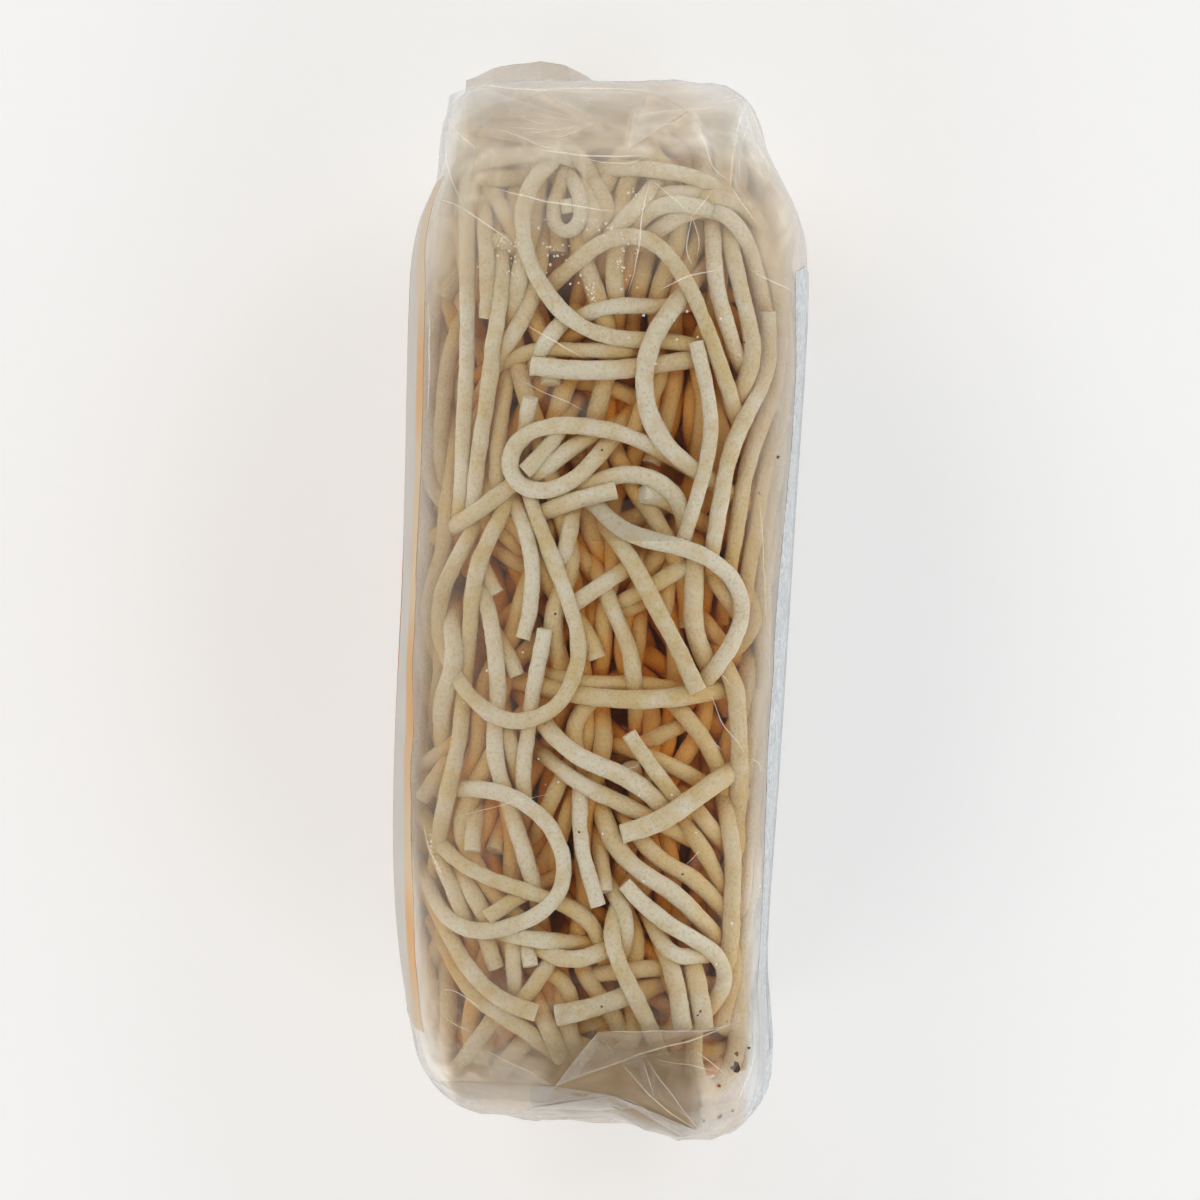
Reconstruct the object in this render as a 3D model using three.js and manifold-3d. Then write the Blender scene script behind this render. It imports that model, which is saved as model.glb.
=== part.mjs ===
// A sealed clear bag of dried flat-laid egg noodles with a printed front label and a plain back
// label. The bag lies on one narrow side: +Z comes out of the other narrow side, +Y runs to the
// bag's top end, -X is the front and +X the back. Millimetres. The origin is under the middle of
// the bag's box, on the surface that it lies on.

import * as THREE from 'three';
import { mergeVertices } from 'three/addons/utils/BufferGeometryUtils.js';
import Module from 'manifold-3d';

const wasm = await Module();
wasm.setup();

// Driving dimensions
const packWidth = 130;          // narrow side to narrow side
const crown = 2.4;              // rise of a narrow side's middle above its edges
const flattened = 2.2;          // how far the underside's crown is pressed flat
const narrowSideShare = 0.8;    // a narrow side's breadth as a share of the bag's thickest section
const cornerPower = 9;          // squareness of the section's corners
const capBulge = 0.6;           // how far the middle of each end stands out

const acrossSteps = 16;         // facets across each narrow side
const depthSteps = 14;          // facets across each broad side
const stationCount = 46;        // sections from the bottom end to the top end

// The front and back faces seen along Z: height along the bag, then distance from the middle
const frontSide = [
    [-91.5, -21], [-88.5, -28.2], [-79, -33.8], [-47, -37.6], [11, -35.8],
    [58, -34.6], [67, -33.2], [75, -30], [87, -28.2], [92, -25],
];
const backSide = [
    [-91.5, 22], [-87, 28.6], [-80, 30.7], [-62, 30.6], [-30, 32.8], [18, 35.8],
    [55, 38], [67, 37], [79, 31], [88, 28.4], [92, 25],
];
// Share of the full width that the section keeps towards the two ends
const widthShare = [
    [-91.5, 0.42], [-90, 0.56], [-87, 0.73], [-81, 0.89], [-73, 0.975], [-63, 1],
    [63, 1], [73, 0.975], [81, 0.89], [87, 0.74], [90.4, 0.57], [92, 0.42],
];
const bottomDrop = { depth: 4.4, from: 0, to: 16, fadeFrom: -68, fadeTo: -89 };

// Film folds on the upper narrow side and its two folded ends
const folds = [
    { rise: 1.6, reach: 4.5, path: [[-22, 88], [-10, 87], [0, 82]] },
    { rise: 1.3, reach: 4, path: [[-18, 80], [-10, 77], [0, 74.5], [9, 75.5]] },
    { rise: 1.4, reach: 4, path: [[25.5, 83], [23, 77], [22, 70]] },
    { rise: 1.0, reach: 4, path: [[10, 81], [19, 76]] },
    { rise: 1.8, reach: 4.5, path: [[-1.5, -73], [10, -72.5], [28, -72]] },
    { rise: 1.8, reach: 4.5, path: [[0, -73], [-8, -82], [15, -75], [23, -71]] },
    { rise: 1.5, reach: 4.5, path: [[0, -74], [4, -78], [18, -90]] },
    { rise: 1.2, reach: 4, path: [[-20, -76], [-8, -82]] },
    { rise: 1.4, reach: 4, path: [[27, -69], [26, -78], [19, -89]] },
    { rise: 1.0, reach: 4, path: [[25, 55], [32, 51.5]] },
];
// Two diagonal folds on each end, from the section's corners to near its middle
const endFold = { depth: 1.5, reach: 9 };

// The pinched ear at the top end and the small flap at the bottom end
const topEar = {
    outline: [[-25.4, 84], [-24.6, 95.5], [-18.5, 98.1], [-11, 99], [-6.5, 98.3], [-2, 96],
        [0.6, 93], [1.5, 84]],
    z: 68, rootHalf: 22, tipHalf: 0.5, rootY: 84, tipY: 99,
};
const bottomFlap = {
    outline: [[-13, -82], [-11.6, -90.6], [0, -89.8], [7, -91.5], [14.4, -94.4], [17.1, -92.8],
        [18, -82]],
    z: 98, rootHalf: 10, tipHalf: 0.5, rootY: -82, tipY: -94.4,
};
// Moves the middle of the bag's length to the origin
const lengthShift = -1.5;

const labelThickness = 0.5;
const labelGap = 0.3;
const frontLabelReach = { bottom: -74, top: 76 };
const backLabelReach = { bottom: -84, top: 60 };

const clamp = THREE.MathUtils.clamp;
const smoothstep = THREE.MathUtils.smoothstep;

// A smooth curve through [position, value] pairs, read at any position
function smoothThrough(pairs) {
    const positions = pairs.map(([position]) => position);
    const values = pairs.map(([, value]) => value);
    const curve = new THREE.CubicInterpolant(positions, values, 1, new Float32Array(1));
    const first = positions[0];
    const last = positions[positions.length - 1];
    return (at) => curve.evaluate(clamp(at, first, last - 1e-6))[0];
}

const frontAt = smoothThrough(frontSide);
const backAt = smoothThrough(backSide);
const widthShareAt = smoothThrough(widthShare);
const bottomEnd = frontSide[0][0];
const topEnd = frontSide[frontSide.length - 1][0];

// How far a point lies from a path of straight stretches
function distanceToPath(x, y, path) {
    let nearest = Infinity;
    for (let i = 0; i + 1 < path.length; i += 1) {
        const [ax, ay] = path[i];
        const [bx, by] = path[i + 1];
        const along = ((x - ax) * (bx - ax) + (y - ay) * (by - ay))
            / ((bx - ax) ** 2 + (by - ay) ** 2);
        const t = clamp(along, 0, 1);
        nearest = Math.min(nearest, Math.hypot(x - ax - t * (bx - ax), y - ay - t * (by - ay)));
    }
    return nearest;
}

function foldRise(x, y) {
    let rise = 0;
    for (const fold of folds) {
        const slope = 1 - distanceToPath(x, y, fold.path) / fold.reach;
        rise = Math.max(rise, fold.rise * slope);
    }
    return rise;
}

// Points of one section's ring on a unit square with rounded corners, anticlockwise seen along +Y
function ringDirections() {
    const corners = [[1, -1], [1, 1], [-1, 1], [-1, -1]];
    const steps = [depthSteps, acrossSteps, depthSteps, acrossSteps];
    const ring = [];
    corners.forEach(([u0, v0], side) => {
        const [u1, v1] = corners[(side + 1) % corners.length];
        for (let i = 0; i < steps[side]; i += 1) {
            const t = i / steps[side];
            const u = u0 + (u1 - u0) * t;
            const v = v0 + (v1 - v0) * t;
            const size = (Math.abs(u) ** cornerPower + Math.abs(v) ** cornerPower)
                ** (1 / cornerPower);
            ring.push([u / size, v / size]);
        }
    });
    return ring;
}

// One point of the bag's skin: u runs across its thickness and v across its width, both -1 to 1
function skinPoint(station, u, v) {
    const front = frontAt(station);
    const back = backAt(station);
    const halfThickness = (back - front) / 2;
    const pinch = 1 - (1 - narrowSideShare) * v * v;
    const x = (front + back) / 2 + halfThickness * pinch * u;
    const halfWidth = (packWidth / 2) * widthShareAt(station);
    const middle = packWidth / 2 - flattened / 2;
    const drop = bottomDrop.depth * smoothstep(x, bottomDrop.from, bottomDrop.to)
        * smoothstep(-station, -bottomDrop.fadeFrom, -bottomDrop.fadeTo);
    const y = station - drop;
    let z = middle + v * (halfWidth - crown * u * u + flattened / 2);
    if (v > 0.9) z += (foldRise(x, y) - folds[0].rise) * smoothstep(v, 0.9, 0.97);
    return [x, y, clamp(z, 0, packWidth)];
}

function stationAt(i) {
    const even = i / (stationCount - 1);
    const eased = 0.5 - 0.5 * Math.cos(Math.PI * even);
    return bottomEnd + (topEnd - bottomEnd) * (0.45 * even + 0.55 * eased);
}

// Rings of skin points from the bottom end to the top end
function bagRings() {
    const directions = ringDirections();
    const rings = [];
    for (let i = 0; i < stationCount; i += 1) {
        rings.push(directions.map(([u, v]) => skinPoint(stationAt(i), u, v)));
    }
    return rings;
}

// An end's cover: rings that shrink to the middle, pressed in along the two diagonal folds
function endCover(ring, outward) {
    const cx = ring.reduce((sum, [x]) => sum + x, 0) / ring.length;
    const cz = ring.reduce((sum, [, , z]) => sum + z, 0) / ring.length;
    const span = Math.max(...ring.map(([, , z]) => z)) - cz;
    const cover = [];
    for (const share of [0.72, 0.42]) {
        cover.push(ring.map(([x, y, z]) => {
            const px = cx + (x - cx) * share;
            const pz = cz + (z - cz) * share;
            const fromFold = Math.abs(Math.abs(pz - cz) - Math.abs(px - cx) - span * 0.25);
            const press = endFold.depth * Math.max(0, 1 - fromFold / endFold.reach);
            return [px, y + outward * (capBulge * (1 - share) * 2 - press), pz];
        }));
    }
    return { cover, centre: [cx, ring[0][1] + outward * capBulge, cz] };
}

function meshFromRings(rings, bottomCentre, topCentre) {
    const count = rings[0].length;
    const positions = rings.flat(2);
    const index = [];
    for (let i = 0; i + 1 < rings.length; i += 1) {
        for (let j = 0; j < count; j += 1) {
            const a = i * count + j;
            const b = i * count + (j + 1) % count;
            index.push(a, a + count, b, b, a + count, b + count);
        }
    }
    const bottomIndex = positions.length / 3;
    positions.push(...bottomCentre, ...topCentre);
    const lastRing = (rings.length - 1) * count;
    for (let j = 0; j < count; j += 1) {
        const next = (j + 1) % count;
        index.push(bottomIndex, j, next);
        index.push(bottomIndex + 1, lastRing + next, lastRing + j);
    }
    const geometry = new THREE.BufferGeometry();
    geometry.setAttribute('position', new THREE.Float32BufferAttribute(positions, 3));
    geometry.setIndex(index);
    return geometry;
}

function toSolid(geometry) {
    const bare = geometry.clone();
    bare.deleteAttribute('normal');
    bare.deleteAttribute('uv');
    const merged = mergeVertices(bare, 1e-4);
    return new wasm.Manifold(new wasm.Mesh({
        numProp: 3,
        vertProperties: new Float32Array(merged.attributes.position.array),
        triVerts: new Uint32Array(merged.index.array),
    }));
}

function toGeometry(solid) {
    const mesh = solid.getMesh();
    const geometry = new THREE.BufferGeometry();
    geometry.setAttribute('position', new THREE.Float32BufferAttribute(mesh.vertProperties, 3));
    geometry.setIndex(Array.from(mesh.triVerts));
    return geometry;
}

// A flap of pinched film: thick where it leaves the bag and flat at its free edge
function pinchedFlap({ outline, z, rootHalf, tipHalf, rootY, tipY }) {
    const shape = new THREE.Shape(outline.map(([x, y]) => new THREE.Vector2(x, y)));
    const geometry = new THREE.ExtrudeGeometry(shape, { depth: 1, bevelEnabled: false });
    const position = geometry.attributes.position;
    for (let i = 0; i < position.count; i += 1) {
        const share = clamp((position.getY(i) - rootY) / (tipY - rootY), 0, 1);
        const half = rootHalf + (tipHalf - rootHalf) * share ** 0.6;
        position.setZ(i, z + (position.getZ(i) < 0.5 ? -half : half));
    }
    return geometry;
}

function bagSolid() {
    const rings = bagRings();
    const bottom = endCover(rings[0], -1);
    const top = endCover(rings[rings.length - 1], 1);
    const all = [bottom.cover[1], bottom.cover[0], ...rings, top.cover[0], top.cover[1]];
    return toSolid(meshFromRings(all, bottom.centre, top.centre))
        .add(toSolid(pinchedFlap(topEar)))
        .add(toSolid(pinchedFlap(bottomFlap)));
}

// Outward direction of the skin at one grid point of a broad side
function outwardAt(rings, i, j) {
    const along = new THREE.Vector3(...rings[i + 1][j]).sub(new THREE.Vector3(...rings[i - 1][j]));
    const around = new THREE.Vector3(...rings[i][j + 1]).sub(new THREE.Vector3(...rings[i][j - 1]));
    return along.cross(around).normalize();
}

// A label: a thin plate on a broad side, just short of its rounded corners, laid on the skin's
// own grid with a small gap
function labelGeometry(firstColumn, reach) {
    const rings = bagRings();
    const rows = [];
    for (let i = 1; i + 1 < rings.length; i += 1) {
        if (stationAt(i) >= reach.bottom && stationAt(i) <= reach.top) rows.push(i);
    }
    const columns = [];
    for (let j = firstColumn + 1; j < firstColumn + depthSteps; j += 1) columns.push(j);
    const lift = (i, j, height) => {
        const out = outwardAt(rings, i, j);
        return new THREE.Vector3(...rings[i][j]).addScaledVector(out, height);
    };
    const positions = [];
    for (const height of [labelGap, labelGap + labelThickness]) {
        for (const i of rows) {
            for (const j of columns) positions.push(...lift(i, j, height).toArray());
        }
    }
    const layer = rows.length * columns.length;
    const at = (r, c, upper) => r * columns.length + c + (upper ? layer : 0);
    const index = [];
    const quad = (a, b, c, d) => index.push(a, b, c, a, c, d);
    for (let r = 0; r + 1 < rows.length; r += 1) {
        for (let c = 0; c + 1 < columns.length; c += 1) {
            quad(at(r, c, true), at(r + 1, c, true), at(r + 1, c + 1, true), at(r, c + 1, true));
            quad(at(r, c), at(r, c + 1), at(r + 1, c + 1), at(r + 1, c));
        }
    }
    const lastRow = rows.length - 1;
    const lastColumn = columns.length - 1;
    for (let c = 0; c < lastColumn; c += 1) {
        quad(at(0, c), at(0, c, true), at(0, c + 1, true), at(0, c + 1));
        quad(at(lastRow, c), at(lastRow, c + 1), at(lastRow, c + 1, true), at(lastRow, c, true));
    }
    for (let r = 0; r < lastRow; r += 1) {
        quad(at(r, 0), at(r + 1, 0), at(r + 1, 0, true), at(r, 0, true));
        quad(at(r, lastColumn), at(r, lastColumn, true), at(r + 1, lastColumn, true),
            at(r + 1, lastColumn));
    }
    const geometry = new THREE.BufferGeometry();
    geometry.setAttribute('position', new THREE.Float32BufferAttribute(positions, 3));
    geometry.setIndex(index);
    return geometry;
}

function part(name, geometry, colour, roughness) {
    const material = new THREE.MeshStandardMaterial({ color: colour, roughness, metalness: 0 });
    const mesh = new THREE.Mesh(geometry, material);
    mesh.name = name;
    return mesh;
}

const noodleBag = new THREE.Group();
noodleBag.position.y = lengthShift;
noodleBag.add(part('bag', toGeometry(bagSolid()), 0xc8b48c, 0.25));
noodleBag.add(part('front_label', labelGeometry(depthSteps + acrossSteps, frontLabelReach),
    0xd99a4e, 0.4));
noodleBag.add(part('back_label', labelGeometry(0, backLabelReach), 0xe4e5e2, 0.5));

export default noodleBag;
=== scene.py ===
"""The looks of a clear sealed bag of dried pancit canton noodles that lies on one narrow side.

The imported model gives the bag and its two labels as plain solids. Here the bag becomes strands of
dried noodle over a small core, inside a crumpled clear film, and the labels become a printed sheet
and a paper sheet. Lengths in this file are millimetres until a mesh is made, and Blender's are
metres. +Z comes out of the upper narrow side, +Y runs to the bag's top end, -X is its front.
"""

from __future__ import annotations

import logging
import math
from dataclasses import dataclass, field
from enum import Enum
from typing import Any, Callable, Iterable, Sequence

import bpy
import numpy as np
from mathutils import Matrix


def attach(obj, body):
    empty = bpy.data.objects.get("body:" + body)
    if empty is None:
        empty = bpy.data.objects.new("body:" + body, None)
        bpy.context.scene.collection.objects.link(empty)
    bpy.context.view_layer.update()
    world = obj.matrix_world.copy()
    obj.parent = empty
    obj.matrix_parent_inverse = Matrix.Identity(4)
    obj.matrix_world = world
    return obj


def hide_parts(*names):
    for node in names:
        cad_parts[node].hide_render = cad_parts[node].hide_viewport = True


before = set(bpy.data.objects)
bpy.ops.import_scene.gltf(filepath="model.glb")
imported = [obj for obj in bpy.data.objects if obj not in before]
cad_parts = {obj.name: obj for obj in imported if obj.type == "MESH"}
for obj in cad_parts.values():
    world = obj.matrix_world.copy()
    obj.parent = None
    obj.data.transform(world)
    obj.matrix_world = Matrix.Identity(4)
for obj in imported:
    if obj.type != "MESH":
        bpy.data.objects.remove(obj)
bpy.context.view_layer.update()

log = logging.getLogger("noodle_bag")

MM = 0.001                 # metres in a millimetre
BODY = "root"
CAMERA_CLEARANCE = 600.0   # from the lens to the upper narrow side's plane
STRAND_STEP = 2.5          # spacing of the points that carry a strand while it is laid
LAYER_DEPTH = 2.85         # how much deeper each level of strands lies

Points = np.ndarray
Piece, Material, World = bpy.types.Object, bpy.types.Material, bpy.types.World
Tree, Node, Socket = bpy.types.NodeTree, bpy.types.Node, bpy.types.NodeSocket
Face = tuple[int, ...]
Part = tuple[Points, list[Face]]


# ---------------------------------------------------------------------------------------------
# Small helpers
# ---------------------------------------------------------------------------------------------

def linear(colour: str) -> tuple[float, ...]:
    """Turns an sRGB hex colour into the linear RGBA that shaders read."""
    channels = [int(colour[i:i + 2], 16) / 255 for i in (1, 3, 5)]
    return (*(c / 12.92 if c <= 0.04045 else ((c + 0.055) / 1.055) ** 2.4 for c in channels), 1.0)


def add_node(tree: Tree, kind: str, inputs: dict[str | int, Any] | None = None,
             **settings: Any) -> Node:
    """Adds a node, sets its settings, and links or sets its inputs.

    Args:
        tree: the node tree that gets the node.
        kind: the node's type name, short of its first two words for a shader's node.
        inputs: a value, a socket or a node for each named or numbered input. A node is linked by
            its first output in use.
        settings: the node's own properties.

    Returns:
        The new node.
    """
    whole = kind if kind.startswith(("Geometry", "NodeGroup")) else "ShaderNode" + kind
    node = tree.nodes.new(whole)
    for name, value in settings.items():
        setattr(node, name, value)
    for key, value in (inputs or {}).items():
        if isinstance(value, Node):
            value = next(socket for socket in value.outputs if socket.enabled)
        if isinstance(value, Socket):
            tree.links.new(value, node.inputs[key])
        else:
            node.inputs[key].default_value = value
    return node


def per_mm(size: float) -> float:
    """Gives the texture scale that draws a pattern of this size, in millimetres."""
    return 1 / (size * MM)


def smooth_rise(values: Points, low: float, high: float) -> Points:
    """Rises smoothly from 0 at low to 1 at high, and falls where low is above high."""
    share = np.clip((np.asarray(values, float) - low) / (high - low), 0, 1)
    return share * share * (3 - 2 * share)


def lattice_noise(places: Points, size: float, seed: int) -> Points:
    """Smooth random values in space, the same on each run.

    Args:
        places: points in millimetres, one a row.
        size: the distance over which the value changes, in millimetres.
        seed: picks the pattern.

    Returns:
        A value from 0 to 1 for each point.
    """
    scaled = np.asarray(places, float) / size + 1000.0
    base = np.floor(scaled).astype(np.int64)
    part = scaled - base
    part = part * part * (3 - 2 * part)
    total = np.zeros(len(scaled))
    for corner in np.ndindex(2, 2, 2):
        cell = base + np.array(corner)
        mixed = (cell[:, 0] * 73856093) ^ (cell[:, 1] * 19349663) ^ (cell[:, 2] * 83492791)
        mixed = (mixed ^ (seed * 2654435761)) & 0xFFFFFFFF
        mixed = ((mixed ^ (mixed >> 15)) * 2246822519) & 0xFFFFFFFF
        mixed = ((mixed ^ (mixed >> 13)) * 3266489917) & 0xFFFFFFFF
        value = ((mixed ^ (mixed >> 16)) & 0xFFFFFFFF) / 0xFFFFFFFF
        weight = np.prod(np.where(np.array(corner) == 1, part, 1 - part), axis=1)
        total += value * weight
    return total


def resample(points: Points, step: float) -> Points:
    """Puts points an even step apart on a smooth curve through the given ones.

    Args:
        points: the curve's own points, one a row, with any number of columns.
        step: the spacing in millimetres, measured over the first two columns.

    Returns:
        The new points, from the first to the last.
    """
    padded = np.vstack([2 * points[0] - points[1], points, 2 * points[-1] - points[-2]])
    t = np.linspace(0, 1, 13)[:-1, None]
    fine = []
    for a, b, c, d in zip(padded, padded[1:], padded[2:], padded[3:]):
        fine.append(0.5 * (2 * b + (c - a) * t + (2 * a - 5 * b + 4 * c - d) * t ** 2
                           + (3 * b - a - 3 * c + d) * t ** 3))
    fine = np.vstack([*fine, points[-1:]])
    length = np.concatenate([[0], np.cumsum(np.linalg.norm(np.diff(fine[:, :2], axis=0), axis=1))])
    count = max(2, round(length[-1] / step) + 1)
    at = np.linspace(0, length[-1], count)
    return np.stack([np.interp(at, length, column) for column in fine.T], axis=1)


def distance_to_path(x: Points, y: Points, path: Sequence[tuple[float, float]]) -> Points:
    """Gives how far points lie from a path of straight stretches, in a plane.

    Args:
        x: the points' first places.
        y: their second places.
        path: the path's corners.

    Returns:
        The distance of each point.
    """
    nearest = np.full(np.shape(x), 1e9)
    for (ax, ay), (bx, by) in zip(path, path[1:]):
        along = ((x - ax) * (bx - ax) + (y - ay) * (by - ay)) / ((bx - ax) ** 2 + (by - ay) ** 2)
        t = np.clip(along, 0, 1)
        nearest = np.minimum(nearest, np.hypot(x - ax - t * (bx - ax), y - ay - t * (by - ay)))
    return nearest


def mesh_object(name: str, points: Points, faces: Iterable[Sequence[int]],
                edges: Iterable[Sequence[int]] = ()) -> Piece:
    """Makes a mesh object at the origin from points in millimetres.

    Args:
        name: the object's and its mesh's name.
        points: one point a row, in millimetres.
        faces: the point numbers of each face.
        edges: the point numbers of each loose edge.

    Returns:
        The object, linked into the scene.
    """
    mesh = bpy.data.meshes.new(name)
    mesh.from_pydata((np.asarray(points) * MM).tolist(), list(edges), list(faces))
    mesh.update()
    piece = bpy.data.objects.new(name, mesh)
    bpy.context.scene.collection.objects.link(piece)
    return piece


def store(piece: Piece, name: str, values: Points) -> None:
    """Keeps one number for each point of a mesh, for nodes to read."""
    attribute = piece.data.attributes.new(name, "FLOAT", "POINT")
    attribute.data.foreach_set("value", np.asarray(values, np.float32))


def dress(piece: Piece, material: Material, slot: str) -> Piece:
    """Gives a piece its material and the body that it rides on.

    Args:
        piece: the piece.
        material: its finish.
        slot: its finish's name; a film, noodle or crumb piece hides the bag's solid.

    Returns:
        The same piece.
    """
    piece.data.materials.clear()
    piece.data.materials.append(material)
    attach(piece, BODY)
    if slot in ("film", "noodle", "crumb"):
        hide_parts("bag")
    return piece


def report(piece: Piece) -> None:
    """Logs a piece's name and its number of triangles."""
    piece.data.calc_loop_triangles()
    log.info("%s: %d triangles", piece.name, len(piece.data.loop_triangles))


# ---------------------------------------------------------------------------------------------
# The bag's form
# ---------------------------------------------------------------------------------------------

@dataclass(frozen=True)
class SmoothTable:
    """A smooth curve through pairs of a place and a value."""

    pairs: tuple[tuple[float, float], ...]

    def at(self, places: Points) -> Points:
        """Reads the curve.

        Args:
            places: where to read it, held to the table's range.

        Returns:
            The value at each place.
        """
        x, y = np.array(self.pairs, float).T
        slope = np.empty_like(y)
        slope[1:-1] = (y[2:] - y[:-2]) / (x[2:] - x[:-2])
        slope[0] = 1.5 * (y[1] - y[0]) / (x[1] - x[0]) - slope[1] / 2
        slope[-1] = 1.5 * (y[-1] - y[-2]) / (x[-1] - x[-2]) - slope[-2] / 2
        held = np.clip(places, x[0], x[-1])
        i = np.clip(np.searchsorted(x, held, side="right") - 1, 0, len(x) - 2)
        h = x[i + 1] - x[i]
        t = (held - x[i]) / h
        return ((1 + 2 * t) * (1 - t) ** 2 * y[i] + t * (1 - t) ** 2 * h * slope[i]
                + t * t * (3 - 2 * t) * y[i + 1] + t * t * (t - 1) * h * slope[i + 1])


@dataclass(frozen=True)
class BagSkin:
    """The bag's outer form: a rounded box whose front and back swell between its narrow sides."""

    pack_width: float = 130.0
    crown: float = 2.4
    flattened: float = 2.2
    narrow_share: float = 0.8
    corner_power: float = 9.0
    fold_room: float = 1.6
    bottom: float = -91.5
    top: float = 92.0
    shift: float = -1.5
    end_room: tuple[float, float] = (4.0, 6.5)
    drop_depth: float = 4.4
    drop_across: tuple[float, float] = (0.0, 16.0)
    drop_along: tuple[float, float] = (68.0, 89.0)
    front: SmoothTable = SmoothTable((
        (-91.5, -21), (-88.5, -28.2), (-79, -33.8), (-47, -37.6), (11, -35.8),
        (58, -34.6), (67, -33.2), (75, -30), (87, -28.2), (92, -25)))
    back: SmoothTable = SmoothTable((
        (-91.5, 22), (-87, 28.6), (-80, 30.7), (-62, 30.6), (-30, 32.8), (18, 35.8),
        (55, 38), (67, 37), (79, 31), (88, 28.4), (92, 25)))
    share: SmoothTable = SmoothTable((
        (-91.5, 0.42), (-90, 0.56), (-87, 0.73), (-81, 0.89), (-73, 0.975), (-63, 1),
        (63, 1), (73, 0.975), (81, 0.89), (87, 0.74), (90.4, 0.57), (92, 0.42)))

    def drop(self, x: Points, station: Points) -> Points:
        """Gives how far the bottom end hangs below its station on the back's side."""
        return (self.drop_depth * smooth_rise(x, *self.drop_across)
                * smooth_rise(-np.asarray(station, float), *self.drop_along))

    def outness(self, u: Points, v: Points) -> Points:
        """Gives how far out places lie, where 1 is on the section's rounded outline."""
        power = self.corner_power
        return (np.abs(u) ** power + np.abs(v) ** power) ** (1 / power)

    def squared(self, u: Points, v: Points) -> tuple[Points, Points]:
        """Moves points of a unit square onto the section's rounded outline."""
        size = self.outness(u, v)
        return u / size, v / size

    @property
    def middle_height(self) -> float:
        """Gives the height of the section's middle."""
        return (self.pack_width - self.flattened) / 2

    def thickness(self, station: Points, v: Points) -> tuple[Points, Points]:
        """Gives the section's middle place and half its thickness, at a place v of its width."""
        front, back = self.front.at(station), self.back.at(station)
        return (front + back) / 2, (back - front) / 2 * (1 - (1 - self.narrow_share) * v * v)

    def reach(self, station: Points, u: Points) -> Points:
        """Gives how far the section reaches up and down, at a place u across its thickness."""
        width = self.pack_width * self.share.at(station) + self.flattened
        return width / 2 - self.crown * u * u

    def rim(self, place: Points) -> Points:
        """Gives u for a place v on the section's rounded outline, and v for u."""
        return (1 - np.abs(place) ** self.corner_power) ** (1 / self.corner_power)

    def station_at(self, x: Points, y: Points) -> Points:
        """Gives the station of places in the bag."""
        return y - self.shift + self.drop(x, y - self.shift)

    def point(self, station: Points, u: Points, v: Points, inset: float = 0.0) -> Points:
        """Gives points of the skin, or of a smaller form inside it.

        Args:
            station: the height along the bag.
            u: the place across its thickness, -1 to 1.
            v: the place across its width, -1 to 1.
            inset: how far inside the skin the form lies.

        Returns:
            One point a row.
        """
        middle, half = self.thickness(station, v)
        x = middle + (half - inset) * u
        z = self.middle_height + v * (self.reach(station, u) - inset)
        z = z - self.fold_room * smooth_rise(v, 0.9, 0.97)
        y = station - self.drop(x, station) + self.shift
        return np.stack([x, y, np.clip(z, inset, self.pack_width)], axis=-1)

    def ceiling(self, x: Points, y: Points) -> Points:
        """Gives the height of the upper narrow side over places across and along the bag.

        Args:
            x: places across the bag.
            y: places along it.

        Returns:
            The height at each place.
        """
        x, y = np.asarray(x, float), np.asarray(y, float)
        station = self.station_at(x, y)
        v = np.ones_like(x)
        for _ in range(4):
            middle, half = self.thickness(station, v)
            u = np.clip((x - middle) / half, -0.999, 0.999)
            v = self.rim(u)
        z = self.middle_height + v * self.reach(station, u)
        return z - self.fold_room * smooth_rise(v, 0.9, 0.97)

    def contain(self, points: Points, margin: Points) -> Points:
        """Moves points that lie too near the skin, or outside it, back inside.

        Args:
            points: one point a row.
            margin: the least distance to the skin for each point.

        Returns:
            The points, moved where needed.
        """
        x, y, z = points.T
        lowest, highest = self.bottom + self.end_room[0], self.top - self.end_room[1]
        y = np.clip(y, lowest + self.shift + margin, highest + self.shift - margin)
        station, high = self.station_at(x, y), z - self.middle_height
        middle, half = self.thickness(station, np.clip(high / self.reach(station, 0), -1, 1))
        reach_x = half - margin
        u = (x - middle) / reach_x
        reach_z = self.reach(station, np.clip(u, -1, 1)) - margin - self.fold_room * (high > 0)
        v = high / reach_z
        size = np.maximum(self.outness(u, v), 1)
        moved_z = np.maximum(self.middle_height + v / size * reach_z, margin)
        return np.stack([middle + u / size * reach_x, y, moved_z], axis=1)

    def depth(self, points: Points) -> Points:
        """Gives about how far points lie inside the skin.

        Args:
            points: one point a row.

        Returns:
            The distance of each point.
        """
        x, y, z = points.T
        station = y - self.shift
        middle, half = self.thickness(station, np.clip(2 * z / self.pack_width - 1, -1, 1))
        ahead = np.minimum(self.top - station, station - self.bottom)
        return np.minimum.reduce([half - np.abs(x - middle), self.ceiling(x, y) - z, ahead, z])

    def seen_height(self, seen_x: Points, seen_y: Points, side: float) -> tuple[Points, Points]:
        """Finds where a broad side passes a line of sight from the camera.

        Args:
            seen_x: places across the upper side's plane that the lines of sight pass.
            seen_y: places along it.
            side: -1 for the front, 1 for the back.

        Returns:
            The station and the height v, -1 to 1, on that side for each line of sight.
        """
        heights = np.linspace(0.98, 0.1, 45)
        across = self.rim(heights)
        stations, found = [], []
        for x, y in zip(seen_x, seen_y):
            station = np.full(len(heights), y - self.shift)
            for _ in range(3):
                points = self.point(station, across * side, heights)
                spread = 1 + (self.pack_width - points[:, 2]) / CAMERA_CLEARANCE
                station = (y - self.shift) * spread
            seen = side * points[:, 0] / spread
            best = np.interp(side * x, np.maximum.accumulate(seen), heights)
            stations.append(np.interp(-best, -heights, station))
            found.append(best)
        return np.array(stations), np.array(found)

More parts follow.
